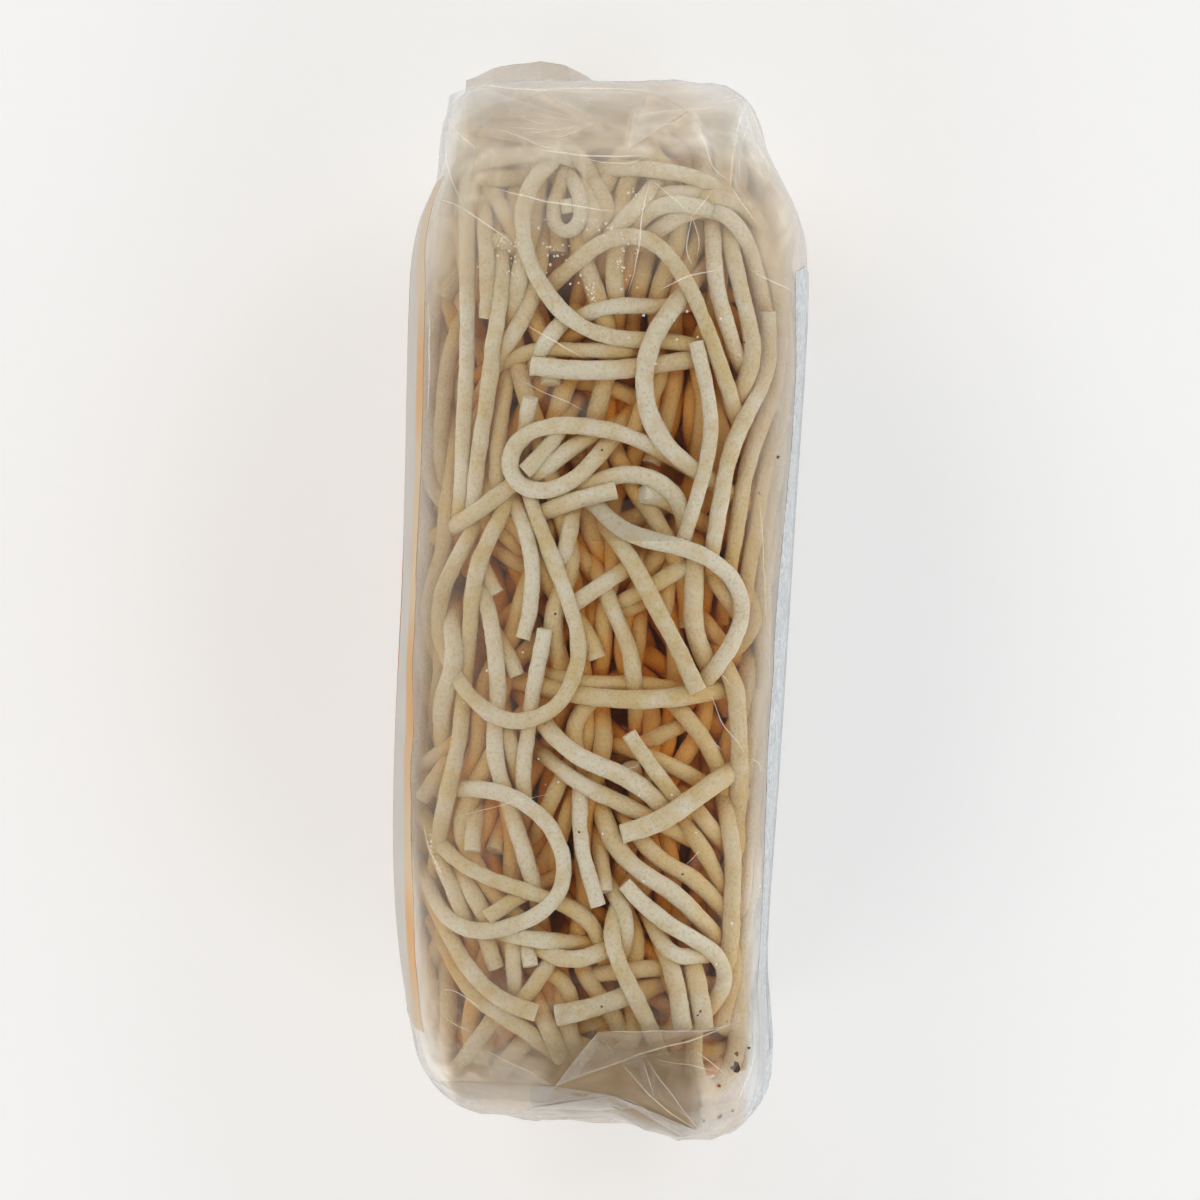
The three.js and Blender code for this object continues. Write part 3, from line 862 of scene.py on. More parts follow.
# The lower half, down to the bottom end
LOWER_ROUTES = (
    Route(((-29.8, -28), (-27.5, -25.8), (-25, -24.2)), 1),
    Route(((-29.5, -33), (-28, -30.5), (-26, -27.8)), 0.8, 3.1, FIRST),
    Route(((-21, -37.5), (-21.2, -39.5), (-21.3, -41.8)), 0.9, 3.1, LAST),
    Route(((-23, -31.5, 1), (-19, -31.5), (-16, -32), (-13, -33.5), (-10, -35.5), (-8, -38),
           (-6.3, -41.5), (-5.7, -45), (-6.3, -48.5), (-8.5, -51.3), (-11.5, -53.3),
           (-15, -54.7), (-19, -55.4), (-23, -55), (-26, -53), (-27.5, -50, 1)), 0, 3.1),
    Route(((-27.3, -39.7, 1), (-26.5, -41.5), (-24, -43.5), (-20.5, -45.5), (-16.5, -47.2),
           (-12.5, -48.3), (-9, -49.5, 0.6), (-6, -50.8, 0.9), (-3, -52.3), (-0.5, -54.5),
           (0.3, -58, 1)), 0.25, 3.0),
    Route(((-12.5, -49, 1), (-15.5, -50.8), (-18.8, -53)), 0.5, 2.9, LAST),
    Route(((-3.3, -33, 0.8), (-3.5, -38), (-3, -42), (-2, -45.5), (-1, -48.5), (-0.2, -51)),
          0.1, 3.0, LAST),
    Route(((-6, -29), (-7.5, -32), (-8.8, -35)), 1),
    Route(((-5.5, -35.5), (-6.5, -39)), 1.2),
    Route(((0.3, -35, 0.8), (1.3, -39), (3.5, -42.5), (6.5, -45.2), (10, -47.3), (13, -49.3),
           (15.5, -51.8), (18, -54.5, 1)), 0.2, 3.5),
    Route(((0.3, -43.5), (0.6, -46), (0.8, -48.5)), 1, 3.0, LAST),
    Route(((-14, -55.8), (-10, -56.5), (-6, -57), (-2, -57.3), (0.5, -57.5)), 1),
    Route(((-10.5, -58, 1), (-8, -59.5), (-5, -60.2), (-2, -59.8), (0, -58.8),
           (1.5, -58, 1)), 0.4),
    Route(((-25.5, -45.5), (-24, -49), (-22.5, -53)), 0.9),
    Route(((-22.5, -46.5), (-20.5, -50), (-18.5, -53.5)), 1.3),
    Route(((-25, -56, 0.8), (-23, -60), (-20.5, -63.3), (-17.5, -66), (-14, -67.8),
           (-10.5, -68.7)), 0.1, 3.1, LAST),
    Route(((-23.5, -62, 1), (-21.5, -65.5), (-18, -68.2), (-14.5, -70.2), (-11, -72.5),
           (-8.5, -75), (-6.5, -76.3, 1)), 0.4),
    Route(((-18.5, -57.5), (-17.3, -61.3)), 1, 3.1, LAST),
    Route(((-12.3, -57), (-11.5, -60.8)), 1.2, 3.1, LAST),
    Route(((-14.5, -57), (-14.3, -61), (-14, -65)), 1.4),
    Route(((-13, -66.5), (-11, -64), (-9, -61)), 1.2),
    Route(((-9, -61.8), (-6.5, -62.5), (-4.8, -64.5), (-4.7, -67)), 1.2),
    Route(((-8.8, -64), (-8.3, -68)), 1.5),
    Route(((3.5, -39), (8, -37.8), (12, -35.7), (16, -32.8), (19.5, -30.3), (23, -28, 0.8)),
          0.1, 3.8, FIRST),
    Route(((6.8, -40), (8.5, -42.3), (11.5, -44.2), (15, -46), (17.5, -48), (19.5, -50.5)),
          0.9),
    Route(((21.3, -36.5, 1), (21.9, -40), (22.3, -44), (22.2, -48), (21.8, -52), (22, -56),
           (21.5, -58.5, 1)), 0.3, 3.3),
    Route(((16, -35), (18.7, -38.5)), 1.2),
    Route(((14, -37.5), (16.8, -41), (18.8, -44.5), (20.2, -48)), 1.2),
    Route(((25.5, -40), (25.5, -46), (24.8, -51), (24, -55)), 1.6),
    Route(((4, -47.3), (6.5, -50), (9.5, -52.8), (13, -55.2), (16.5, -57), (19.5, -58.8),
           (21, -61), (21.3, -63.5), (20, -66), (18.5, -67.5, 1)), 0, 3.1, FIRST),
    Route(((9, -54.5), (10.5, -57.5), (12.5, -59.5), (17.5, -59)), 1.1),
    Route(((3.3, -50.3, 0.8), (2, -52.5), (1.6, -55.5), (2.3, -58.5), (3.8, -62), (5.8, -66),
           (7.8, -70), (9.5, -74, 1)), 0.3, 3.1),
    Route(((3.3, -50.3, 0.8), (4.8, -52), (4.3, -55.5, 1)), 0.4, 3.0),
    Route(((11.5, -60.5, 0.8), (12.7, -64), (13.3, -68), (13.8, -71.5)), 0.1, 3.6, LAST),
    Route(((15.3, -60.5, 0.8), (16.2, -64), (17, -68), (17.5, -71.5)), 0.1, 3.6, LAST),
    Route(((-7.5, -69.3), (-4, -68.7), (0, -67.5), (4.5, -65.8, 1)), 0.2, 3.8, FIRST),
    Route(((-10, -68.3, 1), (-8.4, -71.8), (-6.2, -76.4)), 0.1, 3.7, LAST),
    Route(((-17.5, -69.5, 1), (-20, -73), (-22.5, -76.5), (-24.5, -79)), 0.2, 3.1, LAST),
    Route(((-12.5, -73.5, 0.9), (-15, -76.5), (-17.3, -79)), 0.1, 3.8, LAST),
    Route(((-19, -74), (-20, -77)), 1, 3.1, LAST),
    Route(((-13, -77), (-8, -77.5)), 1),
    Route(((23, -66.3, 0.7), (23.2, -70.5), (22.9, -74.5), (22, -78.2), (20.3, -81.3),
           (17.9, -82.3), (16.1, -80.6), (15.4, -77.5), (15.6, -74, 0.9)), 0.1, 3.4),
    Route(((22, -64.5), (25, -65)), 1.2),
    Route(((0, -62), (5, -61.3), (10, -61)), 2),
    Route(((5.5, -64.5), (9, -66), (12, -68.5)), 2),
    Route(((-4, -71), (2, -69.3), (6, -69.5)), 2),
    Route(((-10, -70), (-3, -74.5), (5, -76), (13, -76.5), (19, -74)), 3, 3.3),
    Route(((2, -72), (9, -72.8), (16, -72), (22, -69)), 3.6, 3.3),
    Route(((4, -79), (9, -79.3), (14, -78.5)), 3.2, 3.3),
    Route(((-18, -78), (-10, -79.5), (-2, -79.8), (6, -80)), 3.2, 3.3),
)


@dataclass
class Strand:
    """One strand while it is laid: the points that carry it and how freely they move."""

    points: Points
    radius: Points
    cut: Points
    tone: float
    lot: StrandLot
    side_pull: float = 0.0
    rise_give: float = 1.0
    covered: Points = field(default_factory=lambda: np.zeros(0))


@dataclass(frozen=True)
class Meander:
    """How a strand wanders over a flat patch: mostly lengthwise, turning back at the ends."""

    half_breadth: float
    low: float
    high: float
    turn_radius: float = 6.5
    curl: float = 0.02

    def path(self, rng: np.random.Generator, length: float) -> Points:
        """Lays one wandering strand.

        Args:
            rng: the source of its random choices.
            length: how long the strand is.

        Returns:
            Places across and along the patch, one a row.
        """
        across = rng.uniform(-self.half_breadth, self.half_breadth)
        along = rng.uniform(self.low, self.high)
        way = rng.choice((-1.0, 1.0))
        heading = way * math.pi / 2 + rng.normal(0, 0.35)
        bend, places = 0.0, []
        for _ in range(int(length / STRAND_STEP)):
            places.append((across, along))
            bend += -0.12 * bend + rng.normal(0, self.curl)
            if along > self.high - self.turn_radius:
                way = -1.0
            if along < self.low + self.turn_radius:
                way = 1.0
            target = math.atan2(way, -1.4 * (across / self.half_breadth) ** 3)
            error = (target - heading + math.pi) % (2 * math.pi) - math.pi
            steer = max(-1 / self.turn_radius, min(1 / self.turn_radius, 0.07 * error))
            heading += STRAND_STEP * (bend + steer)
            across += STRAND_STEP * math.cos(heading)
            along += STRAND_STEP * math.sin(heading)
        return np.array(places)


@dataclass
class NoodleNest:
    """All the strands of the block: those laid from the listed routes on top, and the rest round a
    core.
    """

    film_gap: float = 0.45
    fineness: float = 0.9
    cut_paleness: float = 0.4
    dive_steps: int = 4
    dive_levels: float = 0.62
    under_depth: tuple[float, float] = (6.5, 14.5)
    under_length: float = 5600.0
    below_length: float = 4600.0
    end_lengths: tuple[float, float] = (3000.0, 3700.0)
    beside_length: float = 2700.0
    beside_reach: float = 19.0
    beside_height: float = 104.0
    end_half: float = 30.0
    end_reach: float = 83.0
    end_corner: float = 9.0
    settle_rounds: int = 70
    seed: int = 7
    strands: list[Strand] = field(default_factory=list)

    def hand_laid(self) -> list[Strand]:
        """Turns the routes into strands on the upper side.

        Returns:
            The strands.
        """
        rng = np.random.default_rng(self.seed)
        strands = []
        for route in (*UPPER_ROUTES, *MIDDLE_ROUTES, *LOWER_ROUTES):
            knots = np.array([(*spot[:2], spot[2] if len(spot) > 2 else route.level)
                              for spot in route.path], float)
            line = self.with_dives(resample(knots, STRAND_STEP), route.ends)
            radius = route.width / 2 * self.fineness * self.unevenness(len(line), rng)
            depth = self.film_gap + radius + LAYER_DEPTH * line[:, 2]
            points = SKIN.from_above(line[:, 0], line[:, 1], depth)
            cut = np.zeros(len(line))
            cut[0], cut[-1] = (self.cut_paleness * end for end in route.ends.value)
            give = float(np.clip(0.2 + 0.4 * route.level, 0.2, 1))
            strands.append(Strand(points, radius, cut, rng.uniform(-0.12, 0.16),
                                  StrandLot.SHOWN, 0.3, give))
        return strands

    def with_dives(self, line: Points, ends: Ends) -> Points:
        """Continues each end that isn't cut downwards, under its neighbours.

        Args:
            line: places and levels, one a row.
            ends: which ends are cut.

        Returns:
            The longer line.
        """
        first_cut, last_cut = ends.value
        parts = [line]
        steps = np.arange(1, self.dive_steps + 1)[:, None]
        if not last_cut:
            along = (line[-1] - line[-2]) * (1, 1, 0) + (0, 0, self.dive_levels)
            parts.append(line[-1] + steps * along)
        if not first_cut:
            along = (line[0] - line[1]) * (1, 1, 0) + (0, 0, self.dive_levels)
            parts.insert(0, (line[0] + steps * along)[::-1])
        return np.vstack(parts)

    @staticmethod
    def unevenness(count: int, rng: np.random.Generator) -> Points:
        """Gives the thick and thin stretches along a strand, about 1."""
        knots = rng.uniform(0.93, 1.07, count // 3 + 3)
        return np.interp(np.arange(count) / 3, np.arange(len(knots)), knots)

    def filler(self, lot: StrandLot, meander: Meander, total: float,
               place: Callable[[Points, float], Points], depths: tuple[float, float],
               seed: int) -> list[Strand]:
        """Fills a patch with wandering strands.

        Args:
            lot: the mesh that they go into.
            meander: how they wander.
            total: their length together.
            place: turns places on the patch and a depth into points in space.
            depths: the least and greatest depth under the film.
            seed: picks the random choices.

        Returns:
            The strands.
        """
        rng = np.random.default_rng(seed)
        strands, laid = [], 0.0
        while laid < total:
            length = rng.uniform(90, 330)
            laid += length
            path = meander.path(rng, length)
            depth = rng.uniform(*depths)
            points = place(path, depth)
            points[:, 2] += rng.normal(0, 0.05, len(points)).cumsum() * 0.5
            width = rng.uniform(2.9, 3.4)
            cut = np.zeros(len(points))
            cut[[0, -1]] = self.cut_paleness
            strands.append(Strand(points, width / 2 * self.unevenness(len(points), rng), cut,
                                  rng.uniform(-0.16, 0.1), lot))
        return strands

    def over_top(self, path: Points, depth: float) -> Points:
        """Places a patch under the upper side."""
        x, y = path.T
        return np.stack([x, y, SKIN.ceiling(x, y) - depth], axis=1)

    def over_underside(self, path: Points, depth: float) -> Points:
        """Places a patch over the underside."""
        x, y = path.T
        return np.stack([x, y, np.full(len(x), depth)], axis=1)

    def beside(self, side: float, path: Points, depth: float) -> Points:
        """Places a patch inside a broad side, just below the upper side.

        Args:
            side: -1 for the front, 1 for the back.
            path: places across the patch, which become heights, and along it.
            depth: how far inside the film.

        Returns:
            One point a row.
        """
        height, y = path.T
        v = 2 * (self.beside_height + height) / SKIN.pack_width - 1
        return SKIN.point(y - SKIN.shift, np.full(len(y), side * 0.98), v, depth)

    def round_end(self, end: float, path: Points, depth: float) -> Points:
        """Wraps a patch round one end of the bag, from its front over the end to its back.

        Args:
            end: 1 for the top end, -1 for the bottom end.
            path: places round the end, and heights.
            depth: how far inside the film.

        Returns:
            One point a row.
        """
        around, height = path.T
        corner = self.end_corner
        reach, flat = self.end_reach - depth, self.end_half - depth - corner
        turn = corner * math.pi / 2
        past = np.abs(around) - flat
        angle = np.clip(past / corner, 0, math.pi / 2)
        x = np.where(past < 0, np.abs(around), flat + corner * np.sin(angle))
        y = reach - corner * (1 - np.cos(angle)) - np.maximum(past - turn, 0)
        return np.stack([np.sign(around) * x, end * y, height], axis=1)

    def lay(self) -> None:
        """Lays every strand and presses them apart."""
        low, high = self.under_depth
        self.strands = self.hand_laid()
        self.strands += self.filler(StrandLot.UNDER, Meander(27.0, -82.0, 80.0),
                                    self.under_length, self.over_top, (low, high), 11)
        self.strands += self.filler(StrandLot.OUTER, Meander(27.0, -80.0, 80.0),
                                    self.below_length, self.over_underside, (2.5, 8.5), 12)
        for side, seed in ((-1.0, 15), (1.0, 16)):
            self.strands += self.filler(
                StrandLot.UNDER, Meander(self.beside_reach, -78.0, 78.0), self.beside_length,
                lambda path, depth, side=side: self.beside(side, path, depth), (2.2, 6.5), seed)
        for end, length, seed in zip((1.0, -1.0), self.end_lengths, (13, 18)):
            sheet = Meander(50.0, 10.0, 112.0)
            self.strands += self.filler(
                StrandLot.OUTER, sheet, length,
                lambda path, depth, end=end: self.round_end(end, path, depth), (2.5, 9), seed)
        StrandPress(self.strands).settle(self.settle_rounds)

    def build(self, material: Material) -> list[Piece]:
        """Makes one mesh for each lot of strands.

        Args:
            material: the dough.

        Returns:
            The pieces.
        """
        pieces = []
        for number, lot in enumerate(StrandLot):
            chosen = [strand for strand in self.strands if strand.lot is lot]
            pieces.append(extrude_strands(lot, chosen, material, self.seed + number))
        return pieces


@dataclass
class StrandPress:
    """Presses strands apart until they touch without sinking into each other."""

    strands: list[Strand]
    closeness: float = 0.94
    wall_gap: float = 0.4
    list_every: int = 5
    laid_ease: float = 0.02
    loose_ease: float = 0.06
    shade_reach: float = 5.0
    shade_rise: float = 1.4

    def __post_init__(self) -> None:
        """Joins all the strands' points into shared arrays."""
        counts = [len(strand.points) for strand in self.strands]
        self.points = np.vstack([strand.points for strand in self.strands])
        self.rest = self.points.copy()
        self.radius = np.concatenate([strand.radius for strand in self.strands])
        self.owner = np.repeat(np.arange(len(counts)), counts)
        self.side_pull = np.repeat([strand.side_pull for strand in self.strands], counts)
        rise = np.repeat([strand.rise_give for strand in self.strands], counts)
        side = np.where(self.side_pull > 0, 0.25, 1.0)
        self.give = np.stack([side, side, rise], axis=1)
        index = np.arange(len(self.points))
        starts = np.concatenate([[0], np.cumsum(counts)[:-1]])
        self.before = np.where(np.isin(index, starts), index, index - 1)
        self.after = np.where(np.isin(index + 1, [*starts, len(index)]), index, index + 1)

    def close_pairs(self, reach: float) -> tuple[Points, Points]:
        """Lists the pairs of points nearer than a reach, without near neighbours on a strand.

        Args:
            reach: the greatest distance.

        Returns:
            The first and the second point's number of each pair.
        """
        cells = np.floor(self.points / reach).astype(np.int64)
        cells -= cells.min(0) - 1
        size = cells.max(0) + 2
        key = (cells[:, 0] * size[1] + cells[:, 1]) * size[2] + cells[:, 2]
        order = np.argsort(key, kind="stable")
        ordered = key[order]
        count = len(key)
        firsts, seconds = [], []
        around = [(a, b, c) for a in (0, 1) for b in (-1, 0, 1) for c in (-1, 0, 1)
                  if (a, b, c) >= (0, 0, 0)]
        for a, b, c in around:
            wanted = key + (a * size[1] + b) * size[2] + c
            start = np.searchsorted(ordered, wanted, "left")
            number = np.searchsorted(ordered, wanted, "right") - start
            first = np.repeat(np.arange(count), number)
            within = np.arange(number.sum()) - np.repeat(np.cumsum(number) - number, number)
            second = order[np.repeat(start, number) + within]
            if (a, b, c) == (0, 0, 0):
                first, second = first[second > first], second[second > first]
            firsts.append(first)
            seconds.append(second)
        first, second = np.concatenate(firsts), np.concatenate(seconds)
        apart = np.linalg.norm(self.points[first] - self.points[second], axis=1)
        distant = (self.owner[first] != self.owner[second]) | (np.abs(first - second) > 3)
        kept = (apart < reach) & distant
        return first[kept], second[kept]

    def settle(self, rounds: int) -> None:
        """Presses the strands apart and writes their new points back.

        Args:
            rounds: how often to press.
        """
        reach = 2.2 * float(self.radius.max())
        for turn in range(rounds):
            if turn % self.list_every == 0:
                first, second = self.close_pairs(reach)
            self.press(first, second)
        covered = self.overlaid()
        for number, strand in enumerate(self.strands):
            strand.points = self.points[self.owner == number]
            strand.covered = covered[self.owner == number]

    def overlaid(self) -> Points:
        """Gives how much each point lies under other strands, 0 to 1, for painted shade on the
        dough.

        Returns:
            A value for each point.
        """
        first, second = self.close_pairs(self.shade_reach)
        between = self.points[second] - self.points[first]
        aside = np.hypot(between[:, 0], between[:, 1])
        weight = np.clip(1 - aside / self.shade_reach, 0, 1)
        count = len(self.points)
        above = between[:, 2] > self.shade_rise
        below = between[:, 2] < -self.shade_rise
        shade = (np.bincount(first[above], weight[above], count)
                 + np.bincount(second[below], weight[below], count))
        return np.clip(shade / 2.2, 0, 1)

    def press(self, first: Points, second: Points) -> None:
        """Moves every point once: apart, smoothly, back towards its place, and inside the film.

        Args:
            first: the first point's number of each close pair.
            second: the second point's number.
        """
        between = self.points[second] - self.points[first]
        apart = np.maximum(np.linalg.norm(between, axis=1), 1e-3)
        over = self.closeness * (self.radius[first] + self.radius[second]) - apart
        near = over > 0
        a, b = first[near], second[near]
        push = between[near] * (over[near] / apart[near])[:, None]
        split = self.give[a] / (self.give[a] + self.give[b])
        count = len(self.points)
        hits = np.maximum(np.bincount(a, minlength=count) + np.bincount(b, minlength=count), 1)
        move = np.empty_like(self.points)
        for axis in range(3):
            move[:, axis] = (
                np.bincount(b, push[:, axis] * (1 - split[:, axis]), count)
                - np.bincount(a, push[:, axis] * split[:, axis], count))
        move /= np.sqrt(hits)[:, None]
        for _ in range(2):
            move = 0.5 * move + 0.25 * (move[self.before] + move[self.after])
        self.points += move
        loose = (self.side_pull == 0)[:, None]
        middle = (self.points[self.before] + self.points[self.after]) / 2
        ease = np.where(loose, self.loose_ease, self.laid_ease)
        self.points += ease * (middle - self.points)
        back = self.side_pull[:, None] * (self.rest - self.points)
        self.points[:, :2] += back[:, :2]
        self.points = SKIN.contain(self.points, self.radius + self.wall_gap)


def extrude_strands(lot: StrandLot, strands: list[Strand], material: Material,
                    seed: int) -> Piece:
    """Turns strands into one mesh of slightly rough round rods with flat cut ends.

    Args:
        lot: the mesh's name and fineness.
        strands: the strands.
        material: the dough.
        seed: picks the pattern of its roughness.

    Returns:
        The mesh object.
    """
    for strand in strands:
        for _ in range(2):
            strand.points[1:-1] = (strand.points[:-2] + 2 * strand.points[1:-1]
                                   + strand.points[2:]) / 4
    counts = [len(strand.points) for strand in strands]
    ends = np.cumsum(counts)
    edges = [(i, i + 1) for start, end in zip([0, *ends[:-1]], ends) for i in range(start, end - 1)]
    piece = mesh_object(lot.piece, np.vstack([strand.points for strand in strands]), (), edges)
    store(piece, "thickness", np.concatenate([strand.radius for strand in strands]) * MM)
    store(piece, "cut", np.concatenate([strand.cut for strand in strands]))
    store(piece, "tone", np.repeat([strand.tone for strand in strands], counts))
    covered = np.concatenate([strand.covered for strand in strands])
    # Painted shade: deeper points, and points under other strands, take darker dough colours
    deep = depth_shade_amount(np.vstack([strand.points for strand in strands]))
    store(piece, "depth_shade", np.clip(0.9 * deep + 0.3 * covered, 0, 1))
    return bake_nodes(piece, rod_tree(lot.piece, material, True), {
        "Sides": lot.sides, "Spacing": lot.spacing * MM, "Roughness": 0.6 * MM,
        "Seed": float(seed)})


def depth_shade_amount(points: Points) -> Points:
    """Gives the painted shade from depth in the block, 0 to 1, lighter near the top end."""
    paler = 1 - 0.6 * smooth_rise(points[:, 1], 46, 66)
    return np.clip((SKIN.depth(points) - 2.2) / 8.3, 0, 1) * paler


def bake_nodes(piece: Piece, tree: Tree, inputs: dict[str, Any]) -> Piece:
    """Runs a Geometry Nodes tree on a piece and keeps the result as a plain mesh.

    Args:
        piece: the object whose mesh the tree reads.
        tree: the tree.
        inputs: values for the tree's named inputs.

    Returns:
        The piece, with the result as its mesh.
    """
    modifier = piece.modifiers.new("nodes", "NODES")
    modifier.node_group = tree
    sockets = {item.name: item.identifier for item in tree.interface.items_tree
               if item.in_out == "INPUT"}
    for label, value in inputs.items():
        modifier[sockets[label]] = value
    bpy.context.view_layer.update()
    evaluated = piece.evaluated_get(bpy.context.evaluated_depsgraph_get())
    mesh = bpy.data.meshes.new_from_object(evaluated)
    piece.modifiers.clear()
    old, piece.data = piece.data, mesh
    bpy.data.meshes.remove(old)
    mesh.name = piece.name
    return piece


def rod_tree(name: str, material: Material, rough: bool) -> Tree:
    """Makes the tree that turns lines with a thickness into rods with flat ends.

    Args:
        name: the tree's name.
        material: what the rods are made of.
        rough: whether the lines are rounded first, and the rods get an uneven skin.

    Returns:
        The tree.
    """
    tree = bpy.data.node_groups.new(name, "GeometryNodeTree")
    for label, way, kind in (("Geometry", "INPUT", "Geometry"), ("Sides", "INPUT", "Int"),
                             ("Spacing", "INPUT", "Float"), ("Roughness", "INPUT", "Float"),
                             ("Seed", "INPUT", "Float"), ("Geometry", "OUTPUT", "Geometry")):
        tree.interface.new_socket(label, in_out=way, socket_type="NodeSocket" + kind)
    given = add_node(tree, "NodeGroupInput").outputs
    line = add_node(tree, "GeometryNodeMeshToCurve", {"Mesh": given["Geometry"]})
    if rough:
        line = add_node(tree, "GeometryNodeCurveSplineType", {
            "Curve": line}, spline_type="CATMULL_ROM")
        line = add_node(tree, "GeometryNodeResampleCurve", {
            "Curve": line, "Length": given["Spacing"]}, mode="LENGTH")
    section = add_node(tree, "GeometryNodeCurvePrimitiveCircle", {
        "Resolution": given["Sides"], "Radius": 1.0})
    thickness = add_node(tree, "GeometryNodeInputNamedAttribute", {
        "Name": "thickness"}, data_type="FLOAT")
    rods = add_node(tree, "GeometryNodeCurveToMesh", {
        "Curve": line, "Profile Curve": section, "Scale": thickness.outputs["Attribute"],
        "Fill Caps": True})
    if rough:
        noise = add_node(tree, "TexNoise", {
            "Vector": add_node(tree, "GeometryNodeInputPosition"), "W": given["Seed"],
            "Scale": per_mm(2.6), "Detail": 2.0}, noise_dimensions="4D")
        centred = add_node(tree, "Math", {0: noise, 1: 0.5}, operation="SUBTRACT")
        deep = add_node(tree, "Math", {0: centred, 1: given["Roughness"]}, operation="MULTIPLY")
        offset = add_node(tree, "VectorMath", {
            0: add_node(tree, "GeometryNodeInputNormal"), "Scale": deep}, operation="SCALE")
        rods = add_node(tree, "GeometryNodeSetPosition", {"Geometry": rods, "Offset": offset})
    shaded = add_node(tree, "GeometryNodeSetShadeSmooth", {"Geometry": rods, "Shade Smooth": True})
    real = add_node(tree, "GeometryNodeRealizeInstances", {"Geometry": shaded})
    dressed = add_node(tree, "GeometryNodeSetMaterial", {"Geometry": real, "Material": material})
    add_node(tree, "NodeGroupOutput", {0: dressed})
    return tree


@dataclass
class NoodleCore:
    """The middle of the block, which only shows as shade between the strands."""

    inset: float = 15.5
    end_inset: float = 19.5
    side_gap: float = 4.6
    upper_gap: float = 9.5
    around: int = 128
    along: int = 84
    relief: float = 1.6

    def build(self, material: Material) -> Piece:
        """Makes the core as one closed mesh.

        Args:
            material: the dough.

        Returns:
            The piece.
        """
        angle = np.linspace(0, 2 * math.pi, self.around, endpoint=False)
        u, v = SKIN.squared(np.cos(angle), np.sin(angle))
        lower_v = v * (1 - 2 * self.inset / SKIN.pack_width)
        gap = self.side_gap + (self.upper_gap - self.side_gap) * smooth_rise(lower_v, 0.3, 0.6)
        rings = []
        for station in np.linspace(SKIN.bottom + self.end_inset, SKIN.top - self.end_inset,
                                   self.along):
            wall = SKIN.point(np.full(self.around, station), np.sign(u), lower_v)
            middle = SKIN.thickness(station, 0)[0]
            half = np.abs(wall[:, 0] - middle) - gap
            rings.append(np.stack([middle + u * half, wall[:, 1], wall[:, 2]], axis=1))
        points = np.vstack(rings)
        ridges = lattice_noise(points * (1, 0.25, 1), 3.6, 21) - 0.5
        outward = (points - points.mean(0)) * (1, 0, 1)
        outward /= np.linalg.norm(outward, axis=1)[:, None]
        points = points + outward * (ridges * 2 * self.relief)[:, None]
        centres = np.stack([ring.mean(0) for ring in (rings[0], rings[-1])])
        piece = mesh_object("noodle_core", np.vstack([points, centres]),
                            tube_faces(self.along, self.around))
        piece.data.shade_smooth()
        count = len(piece.data.vertices)
        # The core takes the darkest painted shade
        store(piece, "tone", np.full(count, -0.35))
        store(piece, "depth_shade", np.ones(count))
        store(piece, "cut", np.zeros(count))
        return dress(piece, material, "noodle")


def tube_faces(rings: int, around: int) -> list[Face]:
    """Lists the faces of a tube of rings, closed by a fan round a point at each end.

    Args:
        rings: how many rings it has. The two end points follow the last ring's points.
        around: how many points each ring has, anticlockwise seen along the tube's way.

    Returns:
        The point numbers of each face, facing outwards.
    """
    here = np.arange(rings * around).reshape(rings, around)
    after = np.roll(here, -1, axis=1)
    sides = np.stack([here[:-1], here[1:], after[1:], after[:-1]], axis=-1)
    low, high = here.size, here.size + 1
    return [*sides.reshape(-1, 4).tolist(),
            *((low, a, b) for a, b in zip(here[0].tolist(), after[0].tolist())),
            *((high, b, a) for a, b in zip(here[-1].tolist(), after[-1].tolist()))]


def paired_faces(rows: int, columns: int, turned: bool = False) -> list[Face]:
    """Lists the faces of a thin closed body between two grids of points.

    Args:
        rows: each grid's rows. Rows times columns gives the first grid's outward side.
        columns: each grid's columns. The second grid's points follow the first's.
        turned: whether every face is turned round.

    Returns:
        The point numbers of each face.
    """
    here = np.arange(rows * columns).reshape(rows, columns)
    upper = np.stack([here[:-1, :-1], here[1:, :-1], here[1:, 1:], here[:-1, 1:]], axis=-1)
    upper = upper.reshape(-1, 4)
    rim = np.concatenate([here[0], here[1:, -1], here[-1, -2::-1], here[-2:0:-1, 0]])
    after = np.roll(rim, -1)
    walls = np.stack([rim + here.size, rim, after, after + here.size], axis=-1)
    faces = np.vstack([upper, upper[:, ::-1] + here.size, walls])
    return (faces[:, ::-1] if turned else faces).tolist()


def merged(parts: list[Part]) -> Part:
    """Puts bodies, each with its points and its faces, into one.

    Args:
        parts: the bodies.

    Returns:
        The points and the faces of the one body.
    """
    starts = np.cumsum([0, *(len(points) for points, _ in parts)])
    return (np.vstack([points for points, _ in parts]),
            [tuple(start + i for i in face)
             for start, (_, faces) in zip(starts.tolist(), parts) for face in faces])


# ---------------------------------------------------------------------------------------------
# Film
# ---------------------------------------------------------------------------------------------

def slabs(name: str, grids: list[Points], thickness: float) -> Piece:
    """Makes thin closed sheets from grids of points, which become their outer faces.

    Args:
        name: the piece's name.
        grids: each sheet's points. Rows times columns gives the outward side.
        thickness: how thick the sheets are.

    Returns:
        The piece, shaded smooth, with each outer face's points before those of the face below it.
    """
    parts = [(np.concatenate([grid, grid - SKIN.outward(grid) * thickness]).reshape(-1, 3),
              paired_faces(*grid.shape[:2])) for grid in grids]
    piece = mesh_object(name, *merged(parts))
    piece.data.shade_smooth()
    piece.data.set_sharp_from_angle(angle=math.radians(50))
    return piece


@dataclass(frozen=True)
class Crease:
    """A sharp line in the film of the upper side, as the eye sees it on that plane."""

    path: tuple[tuple[float, float], ...]
    height: float = 0.4
    reach: float = 1.7
    width: float = 0.26


